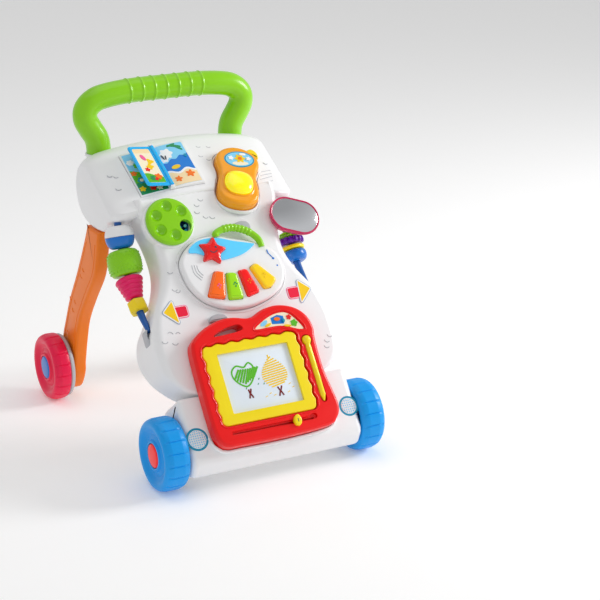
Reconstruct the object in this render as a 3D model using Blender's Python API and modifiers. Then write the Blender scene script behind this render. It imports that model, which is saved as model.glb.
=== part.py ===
"""Baby walker with an activity panel, in metres, +Z up.

The origin is on the floor under the middle of the whole object. -Y is the toy side, the
child pushes from +Y, and X runs across. The sizes in Y below are counted from the middle
between the two axles, which is MID_Y behind the origin. Flat pieces are drawn in one of three
tilted frames: the panel, the console and the phone, whose local Z is the face's normal.
"""
import math

import bmesh
import bpy
from mathutils import Matrix, Vector

# ---- driving dimensions (metres, degrees) ----
GAP = 0.0003                    # gap between pieces that touch
WALL = 0.003                    # moulded wall
PANEL_TILT = 53.5
PANEL_FOOT = (0.0, -0.2813, 0.0)
CONSOLE_TILT = 30.0
CONSOLE_LIP = (0.0, -0.018, 0.360)
CONSOLE_CROWN = 0.96            # drop of the console top is CROWN * x * x
MID_Y = 0.0070                  # brings the middle of the whole length to Y = 0
PHONE_TILT = 36.0
PHONE_PLACE = (0.0, 0.0, 0.380)

WHEEL_R = 0.0506
FRONT_AXLE_Y = -0.1925
REAR_AXLE_Y = 0.1925
FRONT_WHEEL_OUT = 0.1688        # outer face of a front wheel, from the middle
FRONT_WHEEL_W = 0.037
REAR_WHEEL_OUT = 0.1756
REAR_TYRE_W = 0.0253
REAR_RING_W = 0.0074
FRONT_AXLE_R = 0.003
REAR_AXLE_R = 0.004

BEAM_HALF = 0.1305
BEAM_FLOOR = 0.022
SILL_S = 0.1545                 # where the panel meets the beam, along the panel
PANEL_DEPTH = 0.052
LEG_IN, LEG_OUT = 0.120, 0.140
HANDLE_R = 0.018
HANDLE_Y = 0.117
POST_X = 0.105
ROD_X = 0.130
ROD_R = 0.0035
ROD_MID_S, ROD_HALF = 0.3465, 0.0812
ROD_END_N, ROD_BOW = -0.0277, 0.018
BEAD_BORE = 0.0056

DIAL_X, DIAL_S = -0.069, 0.403
DIAL_RIM_R, DIAL_HOLE_R = 0.0370, 0.0303
BOARD_BACK, BOARD_FACE = 0.0005, 0.022
MUSIC_FACE = 0.010
MUSIC_BACK = -0.0145
KEY_TOP, STAR_TOP = 0.0155, 0.0160
PHONE_THICK = 0.016
PHONE_CENTRE = (0.0555, -0.0145)
PHONE_LEAN = -20.5
BOOK_CENTRE = (-0.0478, 0.0503)
BOOK_TILT, BOOK_TURN, BOOK_ROLL = 1.5, 1.5, -7.5
BOOK_DEPTH = 0.0075
BOOK_LEFT, BOOK_RIGHT, BOOK_HALF = 0.0480, 0.0490, 0.0425
PAGE_OPEN = 17.0                # how far the flip page stands open at rest

WHITE = (0.90, 0.90, 0.90)
LIME = (0.26, 0.58, 0.05)
ORANGE = (0.75, 0.20, 0.01)
RED = (0.80, 0.02, 0.02)
YELLOW = (1.0, 0.72, 0.03)
SKY = (0.02, 0.36, 0.80)
BLUE = (0.01, 0.20, 0.55)
PINK = (0.82, 0.03, 0.14)
GREY = (0.42, 0.44, 0.45)
PURPLE = (0.15, 0.04, 0.35)
CRIMSON = (0.40, 0.01, 0.10)
AMBER = (1.0, 0.32, 0.01)
STEEL = (0.55, 0.55, 0.57)
BOARD_GREEN = (0.02, 0.20, 0.06)

for old in list(bpy.data.objects):
    bpy.data.objects.remove(old)

parts = bpy.data.collections.new("baby_walker")
cutters = bpy.data.collections.new("cutters")
for group in (parts, cutters):
    bpy.context.scene.collection.children.link(group)


# ---- frames ----
def empty(name, location, tilt=0.0, parent=None, turn=0.0, roll=0.0):
    """A frame: tilted about X, turned about its own normal, rolled about its own Y."""
    frame = bpy.data.objects.new(name, None)
    parts.objects.link(frame)
    frame.parent = parent
    spin = Matrix.Rotation(math.radians(tilt), 4, "X") @ Matrix.Rotation(math.radians(turn), 4, "Z")
    frame.matrix_local = Matrix.Translation(location) @ spin @ Matrix.Rotation(math.radians(roll), 4, "Y")
    return frame


walker = empty("walker_frame", (0.0, MID_Y, 0.0))
panel = empty("panel_frame", PANEL_FOOT, PANEL_TILT, walker)
console = empty("console_frame", CONSOLE_LIP, CONSOLE_TILT, walker)
phone = empty("phone_frame", PHONE_PLACE, PHONE_TILT, walker)
handset = empty("handset_frame", (*PHONE_CENTRE, 0.0), parent=phone, turn=PHONE_LEAN)
book_height = -CONSOLE_CROWN * BOOK_CENTRE[0] ** 2 + 0.0015
book = empty("book_frame", (*BOOK_CENTRE, book_height), BOOK_TILT, console, BOOK_TURN, BOOK_ROLL)


# ---- helpers ----
def principled(name, colour, roughness=0.35, metallic=0.0):
    material = bpy.data.materials.new(name)
    material.use_nodes = True
    shader = material.node_tree.nodes["Principled BSDF"]
    shader.inputs["Base Color"].default_value = (*colour, 1.0)
    shader.inputs["Roughness"].default_value = roughness
    shader.inputs["Metallic"].default_value = metallic
    return material


def place(name, mesh, parent=None, matrix=None, colour=None, roughness=0.35, metallic=0.0):
    """Makes the object: a part when it has a colour, a cutter when it has none."""
    thing = bpy.data.objects.new(name, mesh)
    (parts if colour else cutters).objects.link(thing)
    thing.parent = parent or walker
    thing.matrix_local = matrix or Matrix()
    if colour:
        mesh.materials.clear()
        mesh.materials.append(principled(name, colour, roughness, metallic))
    else:
        thing.hide_render = True
        thing.display_type = "WIRE"
    return thing


def from_bmesh(name, bm, **where):
    bmesh.ops.recalc_face_normals(bm, faces=bm.faces)
    mesh = bpy.data.meshes.new(name)
    bm.to_mesh(mesh)
    bm.free()
    mesh.shade_smooth()
    mesh.set_sharp_from_angle(angle=math.radians(35))
    return place(name, mesh, **where)


def from_curve(name, curve, **where):
    """A curve made a mesh with its caps welded."""
    holder = bpy.data.objects.new(name, curve)
    cutters.objects.link(holder)
    seen = holder.evaluated_get(bpy.context.evaluated_depsgraph_get())
    mesh = bpy.data.meshes.new_from_object(seen)
    bpy.data.objects.remove(holder)
    bm = bmesh.new()
    bm.from_mesh(mesh)
    bmesh.ops.remove_doubles(bm, verts=bm.verts, dist=1e-5)
    return from_bmesh(name, bm, **where)


def plate(name, outline, low, high, rounding=0.0, **where):
    """A flat outline, made thick from low to high along the frame's Z."""
    curve = bpy.data.curves.new(name, "CURVE")
    curve.dimensions = "2D"
    curve.fill_mode = "BOTH"
    curve.extrude = (high - low) / 2 - rounding
    curve.bevel_depth = rounding
    curve.bevel_resolution = 1
    curve.offset = -rounding
    spline = curve.splines.new("POLY")
    spline.points.add(len(outline) - 1)
    for point, (x, y) in zip(spline.points, outline):
        point.co = (x, y, 0.0, 1.0)
    spline.use_cyclic_u = True
    shift = Matrix.Translation((0, 0, (low + high) / 2))
    where["matrix"] = (where.get("matrix") or Matrix()) @ shift
    return from_curve(name, curve, **where)


def tube(name, points, radius, sides=12, **where):
    curve = bpy.data.curves.new(name, "CURVE")
    curve.dimensions = "3D"
    curve.bevel_depth = radius
    curve.bevel_resolution = (sides - 4) // 2
    curve.use_fill_caps = True
    spline = curve.splines.new("POLY")
    spline.points.add(len(points) - 1)
    for point, place_at in zip(spline.points, points):
        point.co = (*place_at, 1.0)
    return from_curve(name, curve, **where)


def box(name, low, high, **where):
    bm = bmesh.new()
    bmesh.ops.create_cube(bm, size=1.0)
    size = Vector(high) - Vector(low)
    middle = (Vector(high) + Vector(low)) / 2
    bmesh.ops.transform(bm, matrix=Matrix.Translation(middle) @ Matrix.Diagonal((*size, 1)), verts=bm.verts)
    return from_bmesh(name, bm, **where)


def ball(name, centre, radius, **where):
    bm = bmesh.new()
    bmesh.ops.create_uvsphere(bm, u_segments=12, v_segments=8, radius=radius)
    bmesh.ops.translate(bm, vec=centre, verts=bm.verts)
    return from_bmesh(name, bm, **where)


def turned(name, profile, steps=24, **where):
    """A profile of (radius, height) points turned about the frame's Z with a Screw modifier."""
    ring = list(profile)
    area = sum(a[0] * b[1] - b[0] * a[1] for a, b in zip(ring, ring[1:] + ring[:1]))
    if area > 0:
        ring.reverse()
    open_ends = min(r for r, _ in ring) < 1e-6
    if open_ends:
        start = next(i for i in range(len(ring)) if ring[i - 1][0] < 1e-6 and ring[i][0] < 1e-6)
        ring = ring[start:] + ring[:start]
    bm = bmesh.new()
    verts = [bm.verts.new((r, 0.0, z)) for r, z in ring]
    pairs = list(zip(verts, verts[1:]))
    if not open_ends:
        pairs.append((verts[-1], verts[0]))
    for pair in pairs:
        bm.edges.new(pair)
    mesh = bpy.data.meshes.new(name)
    bm.to_mesh(mesh)
    bm.free()
    thing = place(name, mesh, **where)
    screw = thing.modifiers.new("turn", "SCREW")
    screw.steps = screw.render_steps = steps
    screw.use_merge_vertices = True
    screw.merge_threshold = 0.0001
    screw.use_smooth_shade = True
    return thing


def rod(radius, low, high):
    """The profile of a plain round bar."""
    return [(0, low), (radius, low), (radius, high), (0, high)]


def boolean(target, other, operation="DIFFERENCE"):
    step = target.modifiers.new(operation.lower(), "BOOLEAN")
    step.operation = operation
    step.object = other
    step.solver = "EXACT"
    return target


def smooth(points, per=3, closed=True):
    """A smooth outline through a few points (Catmull-Rom)."""
    count = len(points)
    result = []
    for i in range(count if closed else count - 1):
        if closed:
            a, b, c, d = (Vector(points[(i + k) % count]) for k in (-1, 0, 1, 2))
        else:
            a, b, c, d = (Vector(points[min(max(i + k, 0), count - 1)]) for k in (-1, 0, 1, 2))
        for j in range(per):
            t = j / per
            result.append(tuple(0.5 * (2 * b + (c - a) * t + (2 * a - 5 * b + 4 * c - d) * t * t
                                       + (3 * b - a - 3 * c + d) * t ** 3)))
    if not closed:
        result.append(tuple(points[-1]))
    return result


def grown(outline, by):
    """An outline moved outward by a distance (inward when it is negative)."""
    area = sum(a[0] * b[1] - b[0] * a[1] for a, b in zip(outline, outline[1:] + outline[:1]))
    side = 1 if area > 0 else -1
    result = []
    for i, point in enumerate(outline):
        before = (Vector(point) - Vector(outline[i - 1])).normalized()
        after = (Vector(outline[(i + 1) % len(outline)]) - Vector(point)).normalized()
        normal_a = Vector((before.y, -before.x)) * side
        normal_b = Vector((after.y, -after.x)) * side
        bend = (normal_a + normal_b) / max(1 + normal_a.dot(normal_b), 0.35)
        result.append(tuple(Vector(point) + bend * by))
    return result


def mirrored(half):
    """A closed outline from its +X half, listed from the bottom to the top."""
    return list(half) + [(-x, y) for x, y in reversed(half) if x > 1e-6]


def circle(x, y, radius, count=24):
    turn = 2 * math.pi / count
    return [(x + radius * math.cos(i * turn), y + radius * math.sin(i * turn)) for i in range(count)]


def across(x):
    """Turns a frame's Z to +X at a distance x, for axles, wheels and side profiles."""
    return Matrix.Translation((x, 0, 0)) @ Matrix(((0, 0, 1, 0), (1, 0, 0, 0), (0, 1, 0, 0), (0, 0, 0, 1)))


def wheel_place(side, face, axle_y):
    """A wheel's frame: Z points outward from the middle, at its outer face."""
    turn = Matrix.Rotation(math.radians(90 * side), 4, "Y")
    return Matrix.Translation((side * face, axle_y, WHEEL_R)) @ turn


def on_panel(s, n):
    """World (y, z) of a point of the panel frame."""
    c, d = math.cos(math.radians(PANEL_TILT)), math.sin(math.radians(PANEL_TILT))
    return PANEL_FOOT[1] + s * c - n * d, s * d + n * c


# ---- white housing: main panel and its back ----
PANEL_HALF = [(0.0, SILL_S), (0.088, SILL_S), (0.106, 0.160), (0.122, 0.172), (0.1335, 0.192),
              (0.1362, 0.218), (0.1340, 0.248), (0.1234, 0.280), (0.1065, 0.312), (0.0975, 0.337),
              (0.0955, 0.362), (0.0985, 0.390), (0.1035, 0.411), (0.1075, 0.425), (0.1075, 0.446)]
PANEL_REAR = [(0.150, -0.0515), (0.176, -0.0515), (0.2226, -0.080), (0.2441, -0.083), (0.262, -0.078),
              (0.275, -0.060), (0.300, -0.052), (0.450, -0.052)]


def rear_of_panel(s):
    for (s0, n0), (s1, n1) in zip(PANEL_REAR, PANEL_REAR[1:]):
        if s <= s1:
            return n0 + (n1 - n0) * (s - s0) / (s1 - s0)
    return PANEL_REAR[-1][1]


def panel_outline():
    first = PANEL_HALF[:1]
    return mirrored(first + smooth(PANEL_HALF[1:], 2, closed=False))


MUSIC_OUTLINE = smooth([(-0.0706, 0.3436), (-0.0720, 0.3271), (-0.0665, 0.3033), (-0.0515, 0.2822),
                        (-0.0300, 0.2690), (-0.0079, 0.2632), (0.0181, 0.2632), (0.0497, 0.2719),
                        (0.0690, 0.2850), (0.0790, 0.3030), (0.0790, 0.3220), (0.0700, 0.3400),
                        (0.0468, 0.3540), (0.0133, 0.3650), (-0.0102, 0.3725), (-0.0366, 0.3711),
                        (-0.0568, 0.3604)], 2)


def main_panel():
    outline = panel_outline()
    bm = bmesh.new()
    front = [bm.verts.new((x, s, 0.0)) for x, s in outline]
    back = [bm.verts.new((x, s, rear_of_panel(s))) for x, s in outline]
    bm.faces.new(front)
    for i in range(len(outline)):
        j = (i + 1) % len(outline)
        bm.faces.new((front[j], front[i], back[i], back[j]))
    shell = from_bmesh("main_panel", bm, parent=panel, colour=WHITE, roughness=0.25)
    thick = shell.modifiers.new("wall", "SOLIDIFY")
    thick.thickness = WALL
    thick.offset = -1.0
    thick.use_even_offset = True
    dock = plate("music_dock", grown(MUSIC_OUTLINE, 0.0035), -0.0190, -0.0010, parent=panel)
    boolean(shell, dock, "UNION")
    boolean(shell, plate("music_pocket", grown(MUSIC_OUTLINE, 0.0008), -0.0155, 0.010, parent=panel))
    rim = plate("dial_rim", circle(DIAL_X, DIAL_S, DIAL_RIM_R, 32), -0.0010, 0.0028, parent=panel)
    boolean(shell, rim, "UNION")
    boolean(shell, plate("dial_hole", circle(DIAL_X, DIAL_S, DIAL_HOLE_R, 24), -0.0100, 0.0200,
                         parent=panel))
    for side in (-1, 1):
        boolean(shell, tube(f"rod_hole_{side}", rod_path(side, 0.255, 0.300, 4), ROD_R + 0.0008,
                            parent=panel))
    boolean(shell, cradle_room())
    return boolean(shell, book_room())


def panel_back():
    """The cover set between the panel's side walls, following their rear edge."""
    inset = grown(panel_outline(), -WALL - 0.0006)
    rows = sorted({(round(s, 5), x) for x, s in inset if x > 0.01})
    bottom, top = SILL_S + WALL + 0.0016, 0.430
    rows = [(s, x) for s, x in rows if bottom + 0.001 < s < top]
    bm = bmesh.new()
    edges = []
    for s, x in [(bottom, PANEL_HALF[1][0] - WALL)] + rows + [(top, rows[-1][1])]:
        n = rear_of_panel(s) + 0.0003
        edges.append((bm.verts.new((-x, s, n)), bm.verts.new((x, s, n))))
    for (a, b), (c, d) in zip(edges, edges[1:]):
        bm.faces.new((a, c, d, b))
    mesh = bpy.data.meshes.new("panel_back")
    bm.to_mesh(mesh)
    bm.free()
    cover = place("panel_back", mesh, parent=panel, colour=WHITE)
    thick = cover.modifiers.new("wall", "SOLIDIFY")
    thick.thickness = 0.0025
    thick.offset = -1.0
    return cover


# ---- bumper beam ----
BEAM_PROFILE = [on_panel(SILL_S - GAP, 0.0), on_panel(SILL_S - GAP, -0.0515), (-0.1420, 0.0840),
                (-0.1420, 0.0300), (-0.1480, BEAM_FLOOR), (-0.2280, BEAM_FLOOR), (-0.2360, 0.0270),
                (-0.2430, 0.0450), (-0.2418, 0.0535)]


def base_beam():
    half = BEAM_HALF
    beam = plate("base_beam", BEAM_PROFILE, -half, half, matrix=across(0), colour=WHITE, roughness=0.25)
    inner = grown(BEAM_PROFILE, -WALL)
    inner[0] = on_panel(SILL_S + 0.004, -WALL)
    inner[1] = on_panel(SILL_S + 0.004, WALL - 0.0515)
    boolean(beam, plate("beam_room", inner, WALL - half, half - WALL, matrix=across(0)))
    bore = turned("beam_bore", rod(FRONT_AXLE_R + GAP, -0.2, 0.2), 12,
                  matrix=Matrix.Translation((0, FRONT_AXLE_Y, WHEEL_R)) @ across(0))
    return boolean(beam, bore)


# ---- rear legs and axles ----
LEG_REAR = [(0.0885, 0.2972), (0.0900, 0.2920), (0.1100, 0.2560), (0.1370, 0.2120), (0.1700, 0.1630),
            (0.1910, 0.1230), (0.2030, 0.0990), (0.2105, 0.0750), (0.2135, 0.0506), (0.2105, 0.0320),
            (0.2030, 0.0175), (0.1925, 0.0125)]
LEG_FRONT = [(0.1795, 0.0160), (0.1690, 0.0280), (0.1600, 0.0460), (0.1580, 0.0620), (0.1470, 0.1000),
             (0.1320, 0.1380), (0.1010, 0.1800), (0.0650, 0.2245), (0.0515, 0.2640), (0.0440, 0.2972)]


def rear_leg(name, side):
    outline = LEG_REAR + LEG_FRONT
    low, high = sorted((side * LEG_IN, side * LEG_OUT))
    leg = plate(name, outline, low, high, matrix=across(0), colour=ORANGE)
    inner = grown(outline, -WALL)
    inner[0] = (inner[0][0], 0.310)
    inner[-1] = (inner[-1][0], 0.310)
    boolean(leg, plate(name + "_room", inner, low + WALL, high - WALL, matrix=across(0)))
    bore = turned(name + "_bore", rod(REAR_AXLE_R + GAP, 0.1, 0.2), 16,
                  matrix=wheel_place(side, 0.0, REAR_AXLE_Y))
    return boolean(leg, bore)


def axles():
    turned("front_axle", rod(FRONT_AXLE_R, -0.1560, 0.1560), 16, colour=STEEL, metallic=1.0,
           matrix=Matrix.Translation((0, FRONT_AXLE_Y, WHEEL_R)) @ across(0))
    for side, name in ((-1, "left"), (1, "right")):
        matrix = wheel_place(side, 0.0, REAR_AXLE_Y)
        stub = [(0, 0.1165), (0.0065, 0.1165), (0.0065, 0.1196), (REAR_AXLE_R, 0.1196),
                (REAR_AXLE_R, 0.1640), (0, 0.1640)]
        turned(f"rear_axle_{name}", stub, 16, colour=STEEL, metallic=1.0, matrix=matrix)


# ---- wheels ----
def front_wheel(side, name):
    """Blue wheel with a dished outer face and a hollow inner side; height 0 is its outer face."""
    w = FRONT_WHEEL_W
    bore = FRONT_AXLE_R + GAP
    profile = [(bore, -0.0060), (0.0175, -0.0060), (0.0175, -0.0012), (0.0205, -0.0005), (0.0290, -0.0030),
               (0.0380, -0.0012), (0.0445, 0.0), (0.0485, -0.0030), (WHEEL_R, -0.0100),
               (WHEEL_R, -w + 0.0100), (0.0485, -w + 0.0030), (0.0445, -w), (0.0395, -w), (0.0380, -0.0130),
               (0.0100, -0.0130), (0.0100, -w + 0.0050), (bore, -w + 0.0050)]
    place_at = wheel_place(side, FRONT_WHEEL_OUT, FRONT_AXLE_Y)
    turned(f"front_tyre_{name}", profile, 20, matrix=place_at, colour=SKY)
    hub = [(0, -0.0057), (0.0170, -0.0057), (0.0170, -0.0020), (0.0140, -0.0004), (0, -0.0001)]
    turned(f"front_hub_{name}", hub, 20, matrix=place_at, colour=RED)


def rear_wheel(side, name):
    w = REAR_TYRE_W
    bore = REAR_AXLE_R + GAP
    profile = [(bore, -0.0060), (0.0180, -0.0060), (0.0180, -0.0012), (0.0210, -0.0005), (0.0290, -0.0030),
               (0.0380, -0.0012), (0.0445, 0.0), (0.0485, -0.0030), (WHEEL_R, -0.0100),
               (WHEEL_R, -w + 0.0040), (0.0490, -w), (bore, -w)]
    place_at = wheel_place(side, REAR_WHEEL_OUT, REAR_AXLE_Y)
    turned(f"rear_tyre_{name}", profile, 20, matrix=place_at, colour=PINK)
    hub = [(0, -0.0057), (0.0175, -0.0057), (0.0175, -0.0020), (0.0140, -0.0004), (0, -0.0001)]
    turned(f"rear_hub_{name}", hub, 20, matrix=place_at, colour=BLUE)
    low = -w - GAP
    ring = [(bore, low), (0.0480, low), (0.0480, low - 0.004), (0.0450, low - REAR_RING_W),
            (0.0330, low - REAR_RING_W), (0.0300, low - 0.003), (0.0120, low - 0.003),
            (0.0120, low - REAR_RING_W), (bore, low - REAR_RING_W)]
    turned(f"rear_ring_{name}", ring, 20, matrix=place_at, colour=GREY)


# ---- console ----
# The console's side profile in its own frame (along the slope, height), and how much of the
# crown's drop each point takes.
CONSOLE_PROFILE = [(0.1037, -0.0004, 1.0), (0.1214, -0.0130, 1.0), (0.1292, -0.0400, 0.7),
                   (0.1240, -0.0720, 0.3), (0.1061, -0.0982, 0.0), (0.0814, -0.1070, 0.0),
                   (0.0452, -0.0990, 0.0), (0.0073, -0.0745, 0.0), (-0.0020, -0.0420, 0.5)]
CONSOLE_STATIONS = [(0.0, 1.0), (0.035, 1.0), (0.070, 1.0), (0.100, 1.0), (0.120, 0.985), (0.132, 0.95),
                    (0.1385, 0.88), (0.1415, 0.76)]


def lip(x):
    """How far the console's front edge comes down the slope at x."""
    return -0.0015 - 0.0150 * min(abs(x) / 0.11, 1.0) ** 2


def console_loft(name, shrink=0.0, **where):
    """The console's rounded body, lofted across X through scaled copies of its profile."""
    stations = [(-x, k) for x, k in reversed(CONSOLE_STATIONS[1:])] + CONSOLE_STATIONS
    bm = bmesh.new()
    rings = []
    for x, scale in stations:
        drop = CONSOLE_CROWN * x * x
        ring = [Vector((lip(x), -drop))]
        ring += [Vector((t, n - drop * share)) for t, n, share in reversed(CONSOLE_PROFILE)]
        middle = sum(ring, Vector((0, 0))) / len(ring)
        ring = [middle + (point - middle) * scale for point in ring]
        if shrink:
            ring = [Vector(point) for point in grown([tuple(point) for point in ring], -shrink)]
            x *= 1 - shrink / CONSOLE_STATIONS[-1][0]
        rings.append([bm.verts.new((x, point.x, point.y)) for point in ring])
    for a, b in zip(rings, rings[1:]):
        for i in range(len(a)):
            j = (i + 1) % len(a)
            bm.faces.new((a[i], a[j], b[j], b[i]))
    bm.faces.new(rings[0])
    bm.faces.new(rings[-1])
    bmesh.ops.triangulate(bm, faces=bm.faces)
    return from_bmesh(name, bm, parent=console, **where)


CONSOLE_SPLIT = 0.3045


def cradle_room():
    return plate("cradle_room", grown(phone_outline(), 0.0040), -0.0200, 0.040, parent=handset)


def book_room():
    gap = 0.0007
    low = (-BOOK_LEFT - gap, -BOOK_HALF - gap, -BOOK_DEPTH - gap)
    return box("book_room", low, (BOOK_RIGHT + gap, BOOK_HALF + gap, 0.02), parent=book)


def console_shell():
    shell = console_loft("console_shell", colour=WHITE, roughness=0.25)
    boolean(shell, console_loft("console_room", shrink=WALL))
    boolean(shell, box("below_split", (-0.2, -0.1, 0.25), (0.2, 0.2, CONSOLE_SPLIT)))
    boolean(shell, plate("panel_room", grown(panel_outline(), GAP), -PANEL_DEPTH - GAP, 0.03, parent=panel))
    for side in (-1, 1):
        boolean(shell, tube(f"post_hole_{side}", [(side * POST_X, HANDLE_Y, 0.355),
                                                  (side * POST_X, HANDLE_Y, 0.45)], HANDLE_R + 0.0004, 16))
        boolean(shell, tube(f"rod_socket_{side}", rod_path(side, 0.400, 0.440, 4), ROD_R + 0.0008,
                            parent=panel))
    boolean(shell, cradle_room())
    return boolean(shell, book_room())


def console_under():
    lid = console_loft("console_under", colour=WHITE)
    boolean(lid, box("above_split", (-0.2, -0.1, CONSOLE_SPLIT - GAP), (0.2, 0.2, 0.5)))
    room = plate("panel_room_low", grown(panel_outline(), GAP), -PANEL_DEPTH - GAP, 0.03, parent=panel)
    return boolean(lid, room)


# ---- handle ----
HANDLE_HALF = [(POST_X, 0.362), (POST_X, 0.398), (0.1080, 0.416), (0.1165, 0.4305), (0.1235, 0.4445),
               (0.1225, 0.4585), (0.1120, 0.4695), (0.0950, 0.4755), (0.0560, 0.4795), (0.0, 0.4800)]


def handle_path(half, start=None):
    line = smooth([(-x, z) for x, z in half] + [(x, z) for x, z in reversed(half[:-1])], 2, closed=False)
    path = [(x, HANDLE_Y, z) for x, z in line]
    if start:
        path = [(path[0][0], HANDLE_Y, start)] + path[1:-1] + [(path[-1][0], HANDLE_Y, start)]
    return path


def handle():
    bar = tube("handle", handle_path(HANDLE_HALF), HANDLE_R, 12, colour=LIME)
    return boolean(bar, tube("handle_room", handle_path(HANDLE_HALF, 0.350), HANDLE_R - 0.0028, 12))


# ---- bead rods ----
def rod_point(side, s):
    reach = (s - ROD_MID_S) / ROD_HALF
    return side * ROD_X, s, ROD_END_N - ROD_BOW * (1 - reach * reach)


def rod_path(side, low, high, count):
    return [rod_point(side, low + (high - low) * i / count) for i in range(count + 1)]


def on_rod(side, s):
    """A frame on the rod whose Z runs up along it."""
    slope = 2 * ROD_BOW * (s - ROD_MID_S) / ROD_HALF ** 2
    turn = Matrix.Rotation(math.atan(slope) - math.radians(90), 4, "X")
    return Matrix.Translation(rod_point(side, s)) @ turn


def bead(name, side, s, profile, colour, steps=20):
    return turned(name, profile, steps, parent=panel, matrix=on_rod(side, s), colour=colour)


def rods_and_beads():
    for side, name in ((-1, "left"), (1, "right")):
        tube(f"rod_{name}", rod_path(side, 0.2610, 0.4360, 14), ROD_R, 10, parent=panel, colour=BLUE)
    bore = BEAD_BORE
    bead("bead_ball", -1, 0.4055, [(bore, -0.0165), (0.0125, -0.0165), (0.0185, -0.0105), (0.0208, 0.0),
                                   (0.0185, 0.0105), (0.0125, 0.0160), (bore, 0.0160)], SKY)
    bead("bead_barrel", -1, 0.3685, [(bore, -0.0180), (0.0165, -0.0180), (0.0215, -0.0140), (0.0245, 0.0),
                                     (0.0220, 0.0145), (0.0170, 0.0185), (bore, 0.0185)], LIME)
    bead("bead_cone", -1, 0.3310, [(bore, -0.0165), (0.0105, -0.0165), (0.0185, 0.0110), (0.0170, 0.0150),
                                   (bore, 0.0150)], PINK)
    bead("bead_hex", -1, 0.3025, [(bore, -0.0085), (0.0125, -0.0085), (0.0140, -0.0060), (0.0140, 0.0060),
                                  (0.0125, 0.0085), (bore, 0.0085)], YELLOW, 6)
    bead("toy_gear", 1, 0.3635, [(bore, -0.0050), (0.0185, -0.0050), (0.0185, 0.0050), (bore, 0.0050)],
         PURPLE)
    bead("toy_ring_yellow", 1, 0.3525, [(bore, -0.0025), (0.0175, -0.0025), (0.0175, 0.0025),
                                        (bore, 0.0025)], YELLOW)
    bead("toy_ring_blue", 1, 0.3400, [(bore, -0.0080), (0.0130, -0.0080), (0.0178, -0.0020),
                                      (0.0178, 0.0060), (bore, 0.0060)], BLUE)


MIRROR_PLACE = (0.1195, 0.3835, 0.0)
MIRROR_TURN = -21.5
MIRROR_L, MIRROR_W = 0.0760, 0.0525
MIRROR_S = 0.3890               # where its sleeve sits on the rod


def stadium(length, width, count=10):
    """A rounded outline, length along X."""
    radius = width / 2
    reach = length / 2 - radius
    half = [(reach + radius * math.sin(math.pi * i / count),
             -radius * math.cos(math.pi * i / count)) for i in range(count + 1)]
    return half + [(-x, -y) for x, y in half]


def mirror():
    """A stadium-shaped frame held on the rod by a short arm and sleeve; the glass is its own piece."""
    matrix = Matrix.Translation(MIRROR_PLACE) @ Matrix.Rotation(math.radians(MIRROR_TURN), 4, "Z")
    frame = plate("mirror_frame", stadium(MIRROR_L, MIRROR_W), 0.0012, 0.0120, parent=panel, matrix=matrix,
                  colour=CRIMSON)
    boolean(frame, plate("mirror_recess", stadium(MIRROR_L - 0.006, MIRROR_W - 0.006), 0.0104, 0.02,
                         parent=panel, matrix=matrix))
    s = MIRROR_S
    arm = box("mirror_arm", (0.1235, s - 0.008, -0.0360), (0.1365, s + 0.008, 0.0050), parent=panel)
    boolean(frame, arm, "UNION")
    boolean(frame, turned("mirror_sleeve", rod(0.0085, -0.0110, 0.0110), 16, parent=panel,
                          matrix=on_rod(1, s)), "UNION")
    boolean(frame, turned("mirror_bore", rod(BEAD_BORE, -0.0200, 0.0200), 16, parent=panel,
                          matrix=on_rod(1, s)))
    plate("mirror_glass", stadium(MIRROR_L - 0.0066, MIRROR_W - 0.0066), 0.0107, 0.0117, parent=panel,
          matrix=matrix, colour=STEEL, roughness=0.05, metallic=1.0)


# ---- rattle dial ----
def dial():
    centre = Matrix.Translation((DIAL_X, DIAL_S, 0.0))
    cup = [(0, -0.0145), (0.0295, -0.0145), (0.0295, -0.0056), (0.0345, -0.0056), (0.0345, -0.0033),
           (0.0275, -0.0033), (0.0275, -0.0120), (0.0040, -0.0120), (0.0040, 0.0070), (0, 0.0070)]
    cup = turned("dial_cup", cup, 20, parent=panel, matrix=centre, colour=BLUE)
    boolean(cup, plate("panel_inside", grown(panel_outline(), -WALL - GAP), -0.03, 0.02, parent=panel),
            "INTERSECT")
    cap = [(0, 0.0075), (0.0044, 0.0075), (0.0044, 0.0031), (0.0335, 0.0031), (0.0350, 0.0050),
           (0.0345, 0.0085), (0.0320, 0.0103), (0, 0.0115)]
    knob = turned("dial", cap, 24, parent=panel, matrix=centre, colour=LIME)
    for i in range(6):
        angle = math.radians(-27 + 60 * i)
        x, s = 0.0222 * math.cos(angle), 0.0222 * math.sin(angle)
        if i:
            boolean(knob, ball(f"dimple_{i}", (x, s, 0.0165), 0.0115, parent=panel, matrix=centre))
        else:
            boolean(knob, plate("dial_window", circle(x, s, 0.0088, 16), 0.0, 0.02, parent=panel,
                                matrix=centre))


# ---- music module ----
STAR_PLACE = (-0.0219, 0.3494)
KEYS = {
    "orange": [(-0.0279, 0.3205), (-0.0134, 0.3166), (-0.0228, 0.2774), (-0.0478, 0.2849)],
    "green": [(-0.0113, 0.3154), (0.0036, 0.3130), (0.0046, 0.2741), (-0.0184, 0.2759)],
    "red": [(0.0072, 0.3157), (0.0206, 0.3167), (0.0314, 0.2802), (0.0110, 0.2752)],
    "yellow": [(0.0258, 0.3175), (0.0370, 0.3230), (0.0615, 0.2944), (0.0495, 0.2832), (0.0384, 0.2832)],
}


STAR_R = 0.0200


def star_outline(grow=0.0, valley=0.56):
    points = []
    for i in range(10):
        angle = math.radians(74 + 36 * i)
        reach = (STAR_R + grow) * (1.0 if i % 2 == 0 else valley)
        points.append((STAR_PLACE[0] + reach * math.cos(angle), STAR_PLACE[1] + reach * math.sin(angle)))
    return smooth(points, 2)


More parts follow.
